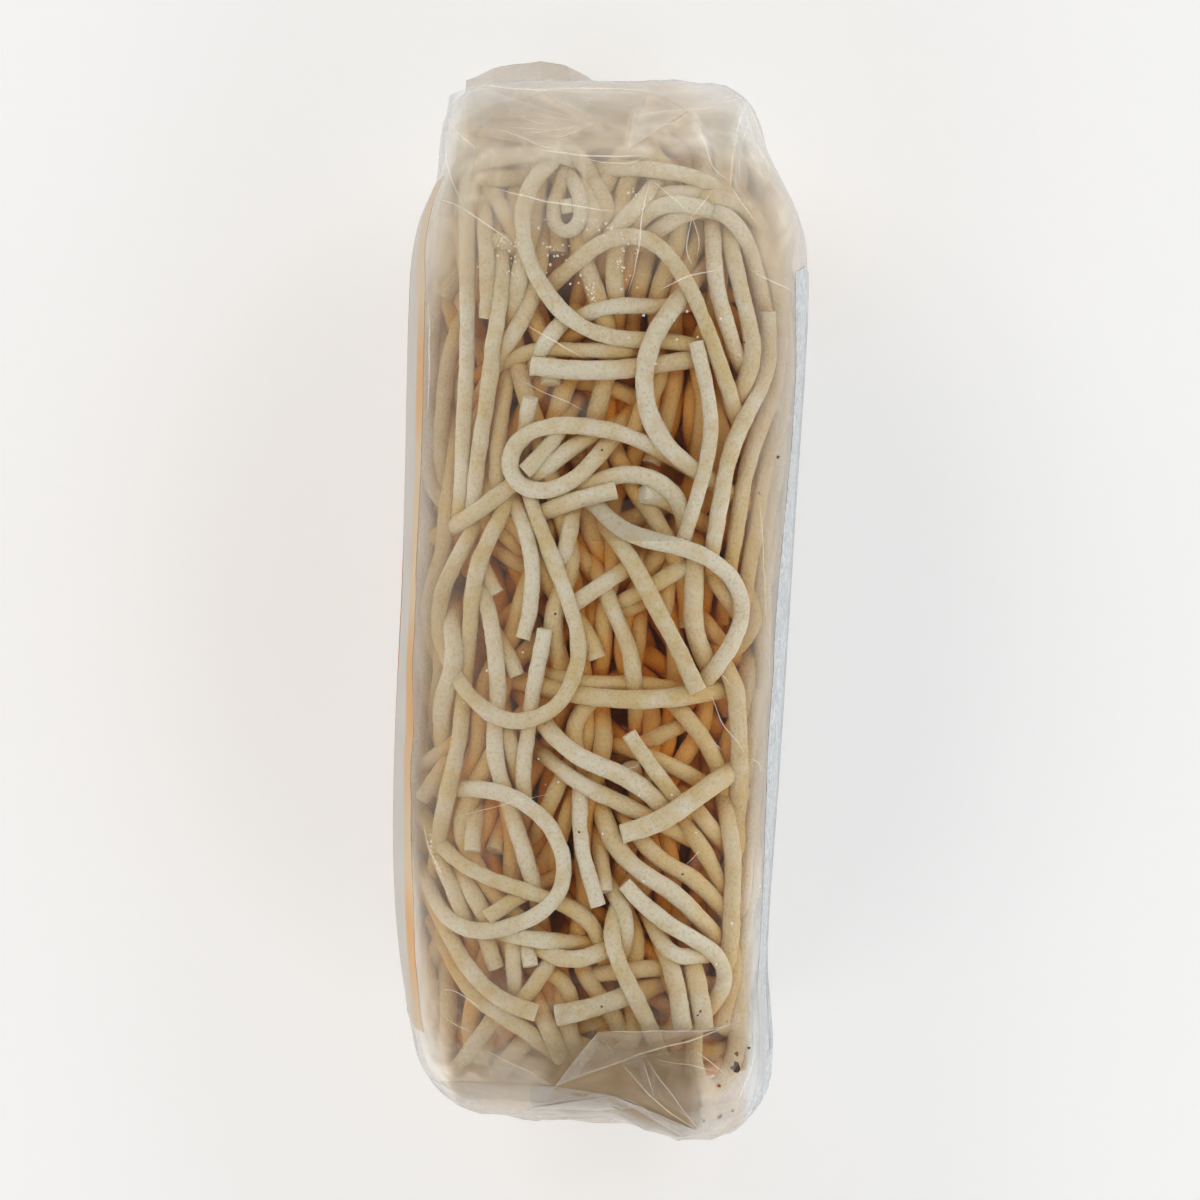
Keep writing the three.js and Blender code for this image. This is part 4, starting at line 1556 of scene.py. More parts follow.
CREASES = (
    # The top end: the ear's foot, the fan below it and the folds down the right side
    Crease(((-21.1, 85.8), (-10, 84.9), (-1.7, 85.3), (8, 85)), 0.6, 2.2, 0.34),
    Crease(((-10, 84.9), (-5.2, 82.2), (-0.6, 79.2)), 0.6, 2.0, 0.4),
    Crease(((-0.8, 79.3), (-11, 80.6), (-17.5, 80.4)), 0.3, 1.0, 0.2),
    Crease(((-0.8, 79.3), (-13, 77.6)), 0.3, 1.0, 0.2),
    Crease(((-0.8, 79.3), (-9, 79.2), (-15, 81.6)), 0.3, 1.0, 0.16),
    Crease(((-0.8, 79.3), (-8, 78.3), (-16, 79)), 0.3, 1.0, 0.16),
    Crease(((-0.8, 79.3), (-6, 77.3), (-9, 77.2)), 0.3, 1.0, 0.16),
    Crease(((-18.6, 78.9), (-14, 77.3), (-10, 75.8), (-7.5, 75.2)), 0.5, 1.6, 0.36),
    Crease(((-10, 74.9), (-1.7, 74), (7.8, 74.1)), 0.5, 1.6, 0.36),
    Crease(((-3, 73.6), (4, 72.6), (8, 74)), 0.3, 1.2, 0.2),
    Crease(((-18, 82.5), (-12, 84), (-10, 84.8)), 0.3, 1.2, 0.22),
    Crease(((-24.2, 78), (-20.6, 75.3)), 0.3, 1.4, 0.2),
    Crease(((-25.3, 82), (-25.6, 73.3), (-23.9, 67.8), (-22.5, 65)), 0.35, 1.4, 0.24),
    Crease(((-26.7, 66.9), (-21.7, 64.4), (-14.7, 59.6)), 0.35, 1.4, 0.34),
    Crease(((-17.5, 68.6), (-11.1, 66.9), (2.5, 64.7)), 0.35, 1.4, 0.3),
    Crease(((24.7, 83.4), (23, 78.9), (22.2, 74.7), (21.7, 68.9)), 0.6, 2.0, 0.42),
    Crease(((24.9, 80), (23.4, 75), (23.2, 70)), 0.4, 1.4, 0.2),
    Crease(((8, 84.6), (15, 81.7), (23.9, 83.8)), 0.45, 1.8, 0.3),
    Crease(((4.6, 75), (5.6, 80.8), (10.3, 81.4), (15, 81.7)), 0.4, 1.4, 0.3),
    Crease(((15, 81.7), (12.5, 79.6), (7.5, 78.6)), 0.35, 1.2, 0.24),
    Crease(((15, 81.7), (17.5, 76), (18.9, 72.2), (21.7, 69.4)), 0.35, 1.4, 0.24),
    Crease(((21.7, 69.4), (24.5, 65), (26.5, 62.5)), 0.35, 1.4, 0.24),
    Crease(((8.4, 70), (7.2, 65.5), (6.4, 58), (4.6, 50.8)), 0.4, 1.5, 0.3),
    Crease(((15.4, 64), (14.4, 58.5), (15.4, 55.6)), 0.4, 1.0, 0.3),
    Crease(((15.4, 64), (16.4, 60), (16.2, 57)), 0.35, 1.0, 0.2),
    Crease(((15.4, 64), (18.3, 67.5)), 0.3, 1.2, 0.2),
    Crease(((8.4, 70), (12, 67), (15.4, 64)), 0.3, 1.2, 0.2),
    Crease(((10, 51.7), (14.5, 53.8), (20, 55)), 0.4, 1.5, 0.3),
    Crease(((25, 55), (32, 51.5)), 0.35, 1.5, 0.24),
    # The middle
    Crease(((-12.5, 46), (-9, 44), (-2.5, 40.3)), 0.4, 1.6, 0.26),
    Crease(((-14, 37), (-8.5, 34.2), (-2.5, 31.5)), 0.3, 1.6, 0.16),
    Crease(((-28.6, 50), (-28.4, 40), (-28.8, 30)), 0.3, 1.6, 0.22),
    Crease(((18.3, -15.2), (19.9, -19.5), (22.8, -23.5), (24.5, -26)), 0.4, 1.4, 0.24),
    Crease(((18.5, -23), (20.3, -25)), 0.3, 1.2, 0.2),
    Crease(((20, -12.3), (21.5, -14)), 0.3, 1.0, 0.2),
    Crease(((25, -26.5), (26.5, -27), (27, -28.8)), 0.3, 1.0, 0.2),
    Crease(((4.3, -28.3), (6.5, -27.5)), 0.1, 0.8, 0.14),
    Crease(((-25, -36.3), (-8, -32.2)), 0.2, 1.0, 0.12),
    Crease(((-29.3, -37.5), (-28.8, -40), (-27.5, -43.5), (-26.3, -46.5)), 0.4, 1.3, 0.3),
    Crease(((14.2, -44.2), (15.6, -42.9), (16.8, -41.4)), 0.25, 1.0, 0.16),
    Crease(((26.3, 20), (27.2, 8), (27.8, -4)), 0.3, 1.6, 0.16),
    # The bottom end: the turned-in flap and the folds that run to the lowest corner
    Crease(((-26.5, -65), (-24.5, -65.2), (-20, -67.8)), 0.35, 1.4, 0.24),
    Crease(((-26, -69.5), (-21.5, -72)), 0.3, 1.2, 0.2),
    Crease(((-0.3, -72), (9.5, -71.9), (18.8, -71.5), (23.3, -69)), 0.6, 1.8, 0.34),
    Crease(((-0.3, -72), (-7.6, -80.9)), 0.6, 1.8, 0.4),
    Crease(((-7.6, -80.9), (1, -77.6), (8.8, -74.9), (15, -73.4), (23.5, -70)), 0.55, 1.8, 0.38),
    Crease(((-0.3, -72), (3.3, -76.7), (8.7, -83), (16.7, -88.6)), 0.5, 1.6, 0.3),
    Crease(((7.3, -76.6), (9, -83)), 0.4, 1.4, 0.24),
    Crease(((8, -76.5), (11.2, -81.5), (16.7, -88.3)), 0.45, 1.4, 0.26),
    Crease(((-19.3, -75), (-13, -78), (-7.6, -80.9)), 0.4, 1.6, 0.26),
    Crease(((-26.3, -80.2), (-16, -80.9), (-7.6, -80.9)), 0.4, 1.6, 0.26),
    Crease(((-11.6, -81.4), (-11.8, -85.4)), 0.4, 1.4, 0.28),
    Crease(((-7.6, -80.9), (2, -82.4), (6.8, -84.4), (14.6, -89.2)), 0.5, 1.6, 0.34),
    Crease(((26, -68), (25.4, -77.1), (22.5, -84.5)), 0.5, 1.6, 0.3),
    Crease(((9, -76.5), (20, -78.4)), 0.3, 1.2, 0.2),
    Crease(((15.5, -75), (21, -78.8)), 0.3, 1.2, 0.2),
)


def ridged(points: Points, size: float, seed: int) -> Points:
    """Gives sharp ridges between soft hollows, 0 to 1."""
    return 1 - np.abs(2 * lattice_noise(points, size, seed) - 1)


def film_relief(points: Points) -> Points:
    """Gives how far the crumpled film stands off its even form.

    Args:
        points: points of the even form, one a row.

    Returns:
        The height at each point.
    """
    y, z = points.T[1:]
    upper = smooth_rise(z, 108, 124)
    near_end = smooth_rise(np.abs(y + 1), 66, 84)
    bare = np.maximum.reduce([upper, near_end, smooth_rise(-z, -12, -4)])
    crumple = 0.55 * ridged(points * (1, 0.55, 1), 13, 31) ** 3
    crumple += 0.26 * ridged(points * (1, 0.8, 1), 5.2, 32) ** 3
    pleats = ridged(points * (1, 0.16, 1), 5.5, 33) ** 2
    calm = 0.4 + 0.2 * (y < 0)
    height = crumple * (0.12 + 0.88 * bare * calm)
    height += 0.9 * near_end * pleats * (1 - 0.5 * upper) * calm
    return height * (1 - 0.4 * upper) + creased(points, 1.0, 1.4) * upper - 0.1


def creased(points: Points, breadth: float, power: float) -> Points:
    """Gives how high the creases of the upper side stand at points.

    Args:
        points: one point a row.
        breadth: the share of its reach within which a crease counts.
        power: how sharply its height falls off.

    Returns:
        The height of the crease that stands highest there.
    """
    spread = (CAMERA_CLEARANCE + SKIN.pack_width - points[:, 2]) / CAMERA_CLEARANCE
    x, y = points[:, 0] / spread, (points[:, 1] - SKIN.shift) / spread
    return np.maximum.reduce([crease.height * np.clip(
        1 - distance_to_path(x, y, crease.path) / (breadth * crease.reach), 0, 1) ** power
        for crease in CREASES])


def film_look(points: Points) -> tuple[Points, Points]:
    """Gives the film's look at each point.

    Args:
        points: one point a row.

    Returns:
        How milky it is, 0 to 1, and the milk's tint, -1 for cool white to 1 for painted brown
        shade.
    """
    x, y, z = points.T
    # Where the film changes: each from 0 to 1
    upper, over = smooth_rise(z, 100, 122), smooth_rise(z, 94, 118)
    high, low = smooth_rise(y, 70, 79), smooth_rise(-y, 58, 76)
    wall = (1 - smooth_rise(z, 117, 127)) * smooth_rise(z, 60, 100) * smooth_rise(np.abs(x), 24, 27)
    streak = smooth_rise(2.6 - distance_to_path(x, y, ((-15, 36.5), (-2, 30))), 0, 2)
    window = smooth_rise(x, 12, 16) * smooth_rise(26.5 - x, 0, 3) * smooth_rise(y, -84, -79) * over
    corner = smooth_rise(x, 14, 20) * smooth_rise(-y, 79, 84) * over
    # A painted glare patch near the top end
    glare = smooth_rise(1 - np.hypot((x - 13.5) / 10, (y - 74) / 8), 0, 1)
    # The shaded hollow under the bottom flap, painted as brown milk
    hollow = smooth_rise(x, -8, -3) * smooth_rise(15.5 - x, 0, 3) * smooth_rise(-y, 75, 79) * over
    web = ridged(points * (1, 0.7, 1), 7, 35) ** 7 + 0.8 * ridged(points * (0.8, 1, 1), 4, 36) ** 7
    middle = (1 - smooth_rise(np.abs(x - 4), 7, 20)) * over
    # How milky it is there: clear in the middle, milkier towards both ends and down the walls.
    # Part of it is painted light: the rise towards the top end lightens the gaps there, and the
    # glare patch, the left third and the walls seen at a slant get painted sheen
    veil = 0.012 + 0.2 * smooth_rise(y, 44, 64) + 0.34 * high + 0.06 * glare
    veil += 0.3 * web * np.maximum(smooth_rise(y, 58, 72), 0.7 * low) * upper
    crushed = (0.06 * smooth_rise(-y, 58, 72) + 0.14 * smooth_rise(-y, 74, 79)
               + (0.2 + 0.2 * over) * smooth_rise(-y, 79.5, 85))
    veil += crushed * (1 - 0.85 * np.maximum(window, 0.7 * corner)) + 0.4 * hollow
    veil += upper * (0.13 * smooth_rise(-x, 6, 24) + 0.1 * smooth_rise(x, 23, 27) + 0.14 * streak)
    veil += 0.42 * wall + 0.06 * (1 - upper)
    # Milkier along the creases at the ends: partly the folds' whitening, partly painted glint
    veil += 0.5 / 0.6 * creased(points, 0.8, 1.0) * upper * np.maximum(high, 0.5 * low)
    veil += 0.1 * smooth_rise(-x, 3, 9) * smooth_rise(-y, 76, 80)
    # The milk's tint: brown painted shade over the left third, the walls, the hollow under the
    # bottom flap and the bottom end, cool at the corners of the ends
    tint = 0.12 + 0.3 * upper * smooth_rise(-x, 6, 24) + 0.4 * wall + 0.4 * streak
    tint += low * (0.25 + 0.85 * middle) - 0.7 * corner - low * smooth_rise(x, 24, 27)
    tint *= 1 - 0.5 * smooth_rise(y, 44, 60) * (1 - high)
    tint += 0.26 * high
    tint -= high * smooth_rise(np.abs(x + 3), 14, 24) + 0.25 * glare
    tint += hollow - 1.2 * wall * smooth_rise(-y, 40, 58)
    return np.clip(veil, 0, 0.9), np.clip(tint, -1, 1)


def store_look(piece: Piece, veil: Points, shade_tint: Points) -> None:
    """Stores how milky the film is on a piece, and the milk's tint towards painted brown shade."""
    store(piece, "veil", veil)
    store(piece, "shade_tint", shade_tint)


@dataclass
class FilmBag:
    """The clear film round the noodles, with its crumples and its veil."""

    across_top: int = 96
    across_side: int = 48
    across_under: int = 34
    row_spacing: float = 0.9
    cover_shares: tuple[float, ...] = (0.94, 0.86, 0.76, 0.64, 0.5, 0.36, 0.22, 0.1)
    cap_bulge: float = 0.6
    end_fold_depth: float = 1.5
    end_fold_reach: float = 9.0

    def section(self) -> tuple[Points, Points]:
        """Gives the ring's places on the outline, anticlockwise seen along +Y.

        Returns:
            Places across the bag and up it.
        """
        corners = ((1, -1), (1, 1), (-1, 1), (-1, -1))
        steps = (self.across_side, self.across_top, self.across_side, self.across_under)
        places = []
        for side, (start, count) in enumerate(zip(corners, steps)):
            stop = corners[(side + 1) % 4]
            t = np.linspace(0, 1, count, endpoint=False)[:, None]
            places.append(np.array(start) + (np.array(stop) - np.array(start)) * t)
        u, v = np.vstack(places).T
        return SKIN.squared(u, v)

    def build(self, material: Material) -> Piece:
        """Makes the film as one closed skin.

        Args:
            material: the film.

        Returns:
            The piece, which stands for the bag's solid.
        """
        u, v = self.section()
        around = len(u)
        count = round((SKIN.top - SKIN.bottom) / self.row_spacing)
        stations = np.linspace(SKIN.bottom, SKIN.top, count)
        grid = np.stack([SKIN.point(np.full(around, s), u, v) for s in stations])
        wrapped = np.concatenate([grid[:, -1:], grid, grid[:, :1]], axis=1)
        outward = SKIN.outward(wrapped)[:, 1:-1]
        relief = film_relief(grid.reshape(-1, 3)).reshape(grid.shape[:2])
        grid = grid + outward * relief[..., None]
        grid[..., 2] = np.maximum(grid[..., 2], 0)
        bottom, low_pole = self.cover(grid[0], -1.0)
        top, high_pole = self.cover(grid[-1], 1.0)
        rings = [*bottom[::-1], *grid, *top]
        points = np.vstack([*rings, low_pole[None], high_pole[None]])
        piece = mesh_object("film_bag", points, tube_faces(len(rings), around))
        piece.data.shade_smooth()
        store_look(piece, *film_look(points))
        return dress(piece, material, "film")

    def cover(self, ring: Points, outward: float) -> tuple[list[Points], Points]:
        """Closes an end with rings that shrink to its middle, pressed in along two folds.

        Args:
            ring: the last ring of the skin.
            outward: 1 at the top end, -1 at the bottom end.

        Returns:
            The smaller rings, largest first, and the middle point.
        """
        centre = ring.mean(0)
        span = ring[:, 2].max() - centre[2]
        rings = []
        for share in self.cover_shares:
            smaller = centre + (ring - centre) * (share, 0, share)
            across, up = np.abs(smaller - centre)[:, [0, 2]].T
            press = np.clip(1 - np.abs(up - across - span * 0.25) / self.end_fold_reach, 0, 1)
            crumple = ridged(smaller * (1, 0, 1), 6, 34) - 0.5
            blend = min(1.0, 3 * (1 - share))
            smaller[:, 1] = (ring[:, 1] * (1 - blend) + centre[1] * blend + outward * (
                self.cap_bulge * (1 - share) * 2
                + blend * (0.7 * crumple - self.end_fold_depth * press)))
            rings.append(smaller)
        return rings, centre + (0, outward * self.cap_bulge, 0)


@dataclass(frozen=True)
class FoldedLayer:
    """A doubled piece of film on the upper side: four corners, as the eye sees them there."""

    corners: tuple[tuple[float, float], ...]
    lift: float
    veil: float
    # Its tint towards the brown painted shade, or below 0 towards cool white
    shade_tint: float = 0.1
    fading: float = 0.0


FOLDED_LAYERS = (
    # The bottom end: the turned-in triangle, the flap below it and the fold to the lowest corner
    FoldedLayer(((-0.3, -72), (19, -71.4), (24, -69.5), (-7.6, -80.9)), 0.30, 0.38, 0.7),
    FoldedLayer(((-0.3, -72), (-7.6, -80.9), (-4, -79.6), (-0.1, -74)), 0.45, 0.2, 0.5),
    FoldedLayer(((3, -76.2), (8, -75.6), (9.5, -83), (8.7, -83.2)), 0.20, 0.2, 0.8),
    FoldedLayer(((8, -75.6), (14.5, -75), (17.5, -88), (9.5, -83)), 0.25, 0.16, 0.8),
    FoldedLayer(((-11.5, -81), (-7.7, -80.8), (2, -82.4), (-11.8, -85.2)), 0.20, 0.26, 0.85),
    FoldedLayer(((-11.8, -84.6), (2, -82.4), (7, -84.4), (-0.6, -85)), 0.35, 0.30, 0.7),
    FoldedLayer(((2, -82.4), (7, -84.4), (16.2, -88.4), (13.5, -89.2)), 0.35, 0.38, 0.6),
    FoldedLayer(((-27.5, -80), (-7.6, -80.9), (-9, -83.6), (-22, -83.2)), 0.20, 0.24, 0.75),
    FoldedLayer(((-19.5, -75), (-14, -77), (-7.6, -80.9), (-18, -80.6)), 0.15, 0.1, 0.5),
    FoldedLayer(((16.5, -84.5), (24.5, -83), (20.5, -88), (17, -88)), 0.25, 0.2, 0.1),
    FoldedLayer(((24.5, -84), (27.8, -79), (28.2, -62), (26.4, -62)), 0.15, 0.3, -0.9, 1.0),
    # The middle: a faint brown patch below the large ring, a painted reflection in the film
    FoldedLayer(((-3.2, 9.8), (-3.2, 16.2), (13.5, 17.2), (13.5, 9.8)), -0.5, 0.16, 0.9, 1.0),
    # The top end: the ear's foot, the fan below it, the panels and the fold down the right side
    FoldedLayer(((-21.1, 85.6), (-0.8, 79.2), (-9.6, 75.6), (-24.4, 78)), 0.25, 0.16, 0.1),
    FoldedLayer(((-10, 84.9), (8, 84.4), (5, 78), (-0.6, 79.2)), 0.20, 0.14, 0.2),
    FoldedLayer(((5.6, 80.8), (10.3, 81.4), (15, 81.7), (4.6, 75)), 0.45, 0.30, -0.3),
    FoldedLayer(((8, 84.5), (23.8, 83.7), (21.9, 70), (15, 81.7)), 0.15, 0.2, 0.1, 0.8),
    FoldedLayer(((23.9, 83.2), (25, 80), (29, 65), (21.8, 66)), 0.30, 0.34, -0.8, 1.0),
    FoldedLayer(((-26.2, 79), (-20.6, 75.5), (-22.5, 64), (-27, 64)), 0.25, 0.2, -0.7, 1.0),
    FoldedLayer(((-26, 78), (-25, 84), (-21.1, 85.6), (-18, 79)), 0.25, 0.22, -0.5, 1.0),
)


@dataclass
class FilmFolds:
    """The doubled layers at both ends, and pale crease lines of whitening and painted glint."""

    steps: int = 26
    thickness: float = 0.05

    def on_film(self, x: Points, y: Points, lift: Points) -> Points:
        """Places what the eye sees at (x, y) on the crumpled film.

        Args:
            x: places across the upper side's plane.
            y: places along it.
            lift: how far above the film each point lies.

        Returns:
            One point a row.
        """
        points = SKIN.from_above(x, y, np.zeros(np.shape(x)))
        flat = points.reshape(-1, 3)
        flat[:, 2] += film_relief(flat)
        flat[:, 2] = np.minimum(flat[:, 2] + np.ravel(lift), SKIN.pack_width + 0.4)
        return flat.reshape(points.shape)

    def layers(self, material: Material) -> Piece:
        """Makes the doubled layers as thin closed sheets in one piece.

        Args:
            material: the film.

        Returns:
            The piece.
        """
        places, count = np.linspace(0, 1, self.steps), self.steps ** 2
        s, t = (share[..., None] for share in np.meshgrid(places, places))
        grids, veils, shade_tints = [], [], []
        for number, layer in enumerate(FOLDED_LAYERS):
            a, b, c, d = np.array(layer.corners)
            flat = (a * (1 - s) + b * s) * (1 - t) + (d * (1 - s) + c * s) * t
            if np.linalg.det([b - a, d - a]) < 0:
                flat = flat[:, ::-1]
            wave = lattice_noise(np.dstack([flat, 0 * s]).reshape(-1, 3), 7, 50 + number)
            lift = layer.lift + 0.5 * wave.reshape(self.steps, self.steps)
            grid = self.on_film(flat[..., 0], flat[..., 1], lift)
            fade = np.broadcast_to(1 - layer.fading * t[..., 0], lift.shape)
            if SKIN.outward(grid)[..., 2].mean() < 0:
                grid, fade = grid.transpose(1, 0, 2)[:, ::-1], fade.T[:, ::-1]
            grids.append(grid)
            veils += [layer.veil * fade.ravel(), np.zeros(count)]
            shade_tints.append(np.full(2 * count, layer.shade_tint))
        piece = slabs("film_layers", grids, self.thickness)
        store_look(piece, np.concatenate(veils), np.concatenate(shade_tints))
        return dress(piece, material, "film")

    def lines(self, material: Material) -> Piece:
        """Makes the pale lines along the creases, of whitened film and painted glint.

        Args:
            material: the crease lines' finish, partly painted glint.

        Returns:
            The piece.
        """
        points, edges, widths = [], [], []
        for number, crease in enumerate(CREASES):
            line = resample(np.array(crease.path, float), 0.8)
            flat = np.column_stack([line, np.zeros(len(line))])
            wobble = lattice_noise(flat, 3.0, 80 + number) - 0.5
            line = line + (wobble * 0.3)[:, None]
            placed = self.on_film(line[:, 0], line[:, 1], np.full(len(line), 0.02))
            start = sum(len(part) for part in points)
            edges += [(start + i, start + i + 1) for i in range(len(placed) - 1)]
            taper = np.sin(np.linspace(0.05, math.pi - 0.05, len(placed))) ** 0.8
            points.append(placed)
            widths.append(0.4 * crease.width * taper * MM)
        piece = mesh_object("film_crease_glints", np.vstack(points), (), edges)
        store(piece, "thickness", np.concatenate(widths))
        piece = bake_nodes(piece, rod_tree("crease_glint_beads", material, False), {"Sides": 6})
        return dress(piece, material, "film")


@dataclass(frozen=True)
class PinchedFlap:
    """Film pinched flat beyond an end: two layers that part at the bag and meet at the edge."""

    name: str
    outline: tuple[tuple[float, float], ...]
    height: float
    root_half: float
    tip_half: float
    root: float
    tip: float
    veil: float
    # The tint towards the brown painted shade
    shade_tint: float
    columns: int = 44
    rows: int = 22

    def build(self, material: Material) -> Piece:
        """Makes the flap as one closed sheet of two layers.

        Args:
            material: the film.

        Returns:
            The piece.
        """
        edge = np.array(self.outline)
        across = np.linspace(edge[:, 0].min() + 0.2, edge[:, 0].max() - 0.2, self.columns)
        order = np.argsort(edge[:, 0])
        reach = np.interp(across, edge[order, 0], edge[order, 1])
        share = np.linspace(0, 1, self.rows)[:, None]
        x = np.tile(across, (self.rows, 1))
        y = self.root + share * (reach - self.root)
        out = np.clip((y - self.root) / (self.tip - self.root), 0, 1) ** 0.6
        half = self.root_half + (self.tip_half - self.root_half) * out
        sideways = (across - across.mean()) / (across[-1] - across[0]) * 2
        half = half * (1 - np.abs(sideways) ** 8) ** 0.5 * (1 - share ** 6)
        flat = np.stack([x, y, np.zeros_like(x)], axis=-1).reshape(-1, 3)
        wave = (ridged(flat * (1, 0.3, 1), 4.5, 61) - 0.4).reshape(x.shape) * (0.5 + share)
        upper = np.stack([x, y + SKIN.shift, self.height + half + wave], axis=-1)
        lower = np.stack([x, y + SKIN.shift, self.height - half - 0.15 + wave * 0.9], axis=-1)
        points = np.stack([upper, lower]).reshape(-1, 3)
        piece = mesh_object(self.name, points,
                            paired_faces(self.rows, self.columns, self.tip > self.root))
        piece.data.shade_smooth()
        store_look(piece, np.full(len(points), self.veil), np.full(len(points), self.shade_tint))
        return dress(piece, material, "film")


TOP_EAR = PinchedFlap(
    "film_ear",
    ((-25.4, 84), (-24.6, 95.5), (-18.5, 98.1), (-11, 99), (-6.5, 98.3), (-2, 96), (0.6, 93),
     (1.5, 90)),
    68, 22, 0.5, 86, 99, 0.4, 0.6)
BOTTOM_FLAP = PinchedFlap(
    "film_bottom_flap",
    ((-13, -86), (-11.6, -90.6), (0, -89.8), (7, -91.5), (14.4, -94.4), (17.1, -92.8),
     (18, -90)),
    98, 10, 0.5, -84, -94.4, 0.46, 0.75)


# ---------------------------------------------------------------------------------------------
# Crumbs
# ---------------------------------------------------------------------------------------------

@dataclass(frozen=True)
class LooseSpeck(Finish):
    """Small dry bits of the dough: pale ones that glint, or scorched dark ones.

    It gives the eye tiny bright points under the film, or small brown and red-brown flakes.
    """

    colour: str = "#FFFFFF"
    roughness: float = 0.7

    def surface(self, tree: Tree) -> Node:
        """Grows the shader.

        Args:
            tree: the material's node tree.

        Returns:
            The shader's last node.
        """
        return add_node(tree, "BsdfPrincipled", {
            "Base Color": linear(self.colour), "Roughness": self.roughness, "IOR": 1.5})


@dataclass(frozen=True)
class CrumbDrift:
    """Fine crumbs caught along a line under the film, as the eye sees them from above."""

    path: tuple[tuple[float, float], ...]
    reach: float
    count: int


CRUMB_DRIFTS = (
    CrumbDrift(((-17.9, 59.6), (-13.8, 58.8)), 1.0, 16), CrumbDrift(((-15, 57), (-15, 54)), 1.2, 7),
    CrumbDrift(((-9.6, 60), (-5, 55.8)), 1.6, 16), CrumbDrift(((-2.9, 65), (5.8, 58.3)), 1.6, 34),
    CrumbDrift(((-2.5, 52.9), (0, 50)), 1.3, 16), CrumbDrift(((3, 57), (5, 52)), 1.2, 12),
    CrumbDrift(((5, 68.3), (10, 65)), 1.5, 14),
    CrumbDrift(((-29.3, -37.5), (-26.3, -46.5)), 0.5, 14),
    CrumbDrift(((-22, 62), (22, 44)), 8.0, 26), CrumbDrift(((-20, -10), (24, -60)), 12.0, 22),
)
# Scorched flakes: across, along, breadth, and whether it is red-brown
DARK_FLECKS = (
    (0.3, 25, 0.6, False), (26.5, 17.8, 0.7, True), (-7.5, -2.3, 0.5, False),
    (-3.7, 23.7, 0.5, False), (29.7, 23.8, 0.7, True), (-3.5, -38.7, 0.6, False),
    (13.7, -45.7, 0.6, False), (16.7, -68.5, 0.7, True), (16.3, -69.2, 0.5, False),
    (0.3, -67.8, 0.6, False), (24, 43, 0.6, True), (21.2, -70.3, 0.6, True),
    (24.8, -74.6, 0.6, False), (19.7, -80.9, 0.9, True), (22.7, -75.6, 1.1, True),
    (22.7, -77.9, 2.0, False), (17.3, -86.7, 0.8, False), (19.9, -86, 1.0, True),
    (18.3, -87.7, 0.6, True), (22.1, -85.1, 0.6, False),
)


def flake(rng: np.random.Generator, centre: Points, breadth: float,
          thickness: float) -> Part:
    """Makes one closed ragged flake lying flat.

    Args:
        rng: the source of its random form.
        centre: its middle.
        breadth: how broad it is.
        thickness: how thick it is.

    Returns:
        Its points and its faces.
    """
    angle = np.linspace(0, 2 * math.pi, 10, endpoint=False)
    reach = breadth / 2 * rng.uniform(0.45, 1.15, 10)
    rim = np.stack([np.cos(angle) * reach, np.sin(angle) * reach, np.zeros(10)], axis=1)
    rim[:, 2] = rng.uniform(-0.2, 0.2, 10) * thickness
    poles = np.array([(0, 0, -thickness / 2), (0, 0, thickness / 2)])
    faces = []
    for i in range(10):
        faces += [((i + 1) % 10, i, 10), (i, (i + 1) % 10, 11)]
    return centre + np.vstack([rim, poles]), faces


def scatter(name: str, bits: list[Part], material: Material) -> Piece:
    """Makes one piece from many small closed bits."""
    return dress(mesh_object(name, *merged(bits)), material, "crumb")


def crumb_pieces() -> list[Piece]:
    """Makes the pale crumbs and the scorched flakes under the film of the upper side.

    Returns:
        The three pieces.
    """
    rng = np.random.default_rng(91)
    pale: list[Part] = []
    dark: dict[bool, list[Part]] = {False: [], True: []}
    for drift in CRUMB_DRIFTS:
        line = np.array(drift.path)
        share = rng.uniform(0, 1, (drift.count, 1))
        spots = line[0] * (1 - share) + line[1] * share + rng.normal(
            0, drift.reach / 2, (drift.count, 2))
        for x, y in spots:
            place = SKIN.from_above(np.array([x]), np.array([y]), 0.25)[0]
            breadth = rng.uniform(0.22, 0.6)
            pale.append(flake(rng, place, breadth, breadth * 0.6))
    for x, y, breadth, is_red in DARK_FLECKS:
        place = SKIN.from_above(np.array([x]), np.array([y]), 0.3)[0]
        dark[is_red].append(flake(rng, place, breadth, 0.2))
    return [scatter(name, bits, LooseSpeck(finish, colour, roughness).build())
            for name, bits, finish, colour, roughness in (
                ("pale_crumbs", pale, "dough_crumb", "#FFF9EA", 0.25),
                ("brown_flakes", dark[False], "scorched_crust", "#4E3526", 0.7),
                ("red_flakes", dark[True], "toasted_crust", "#8C4A30", 0.7))]


# ---------------------------------------------------------------------------------------------
# Labels
# ---------------------------------------------------------------------------------------------

class Side(Enum):
    """The broad side that a sheet lies on."""

    FRONT = -1
    BACK = 1


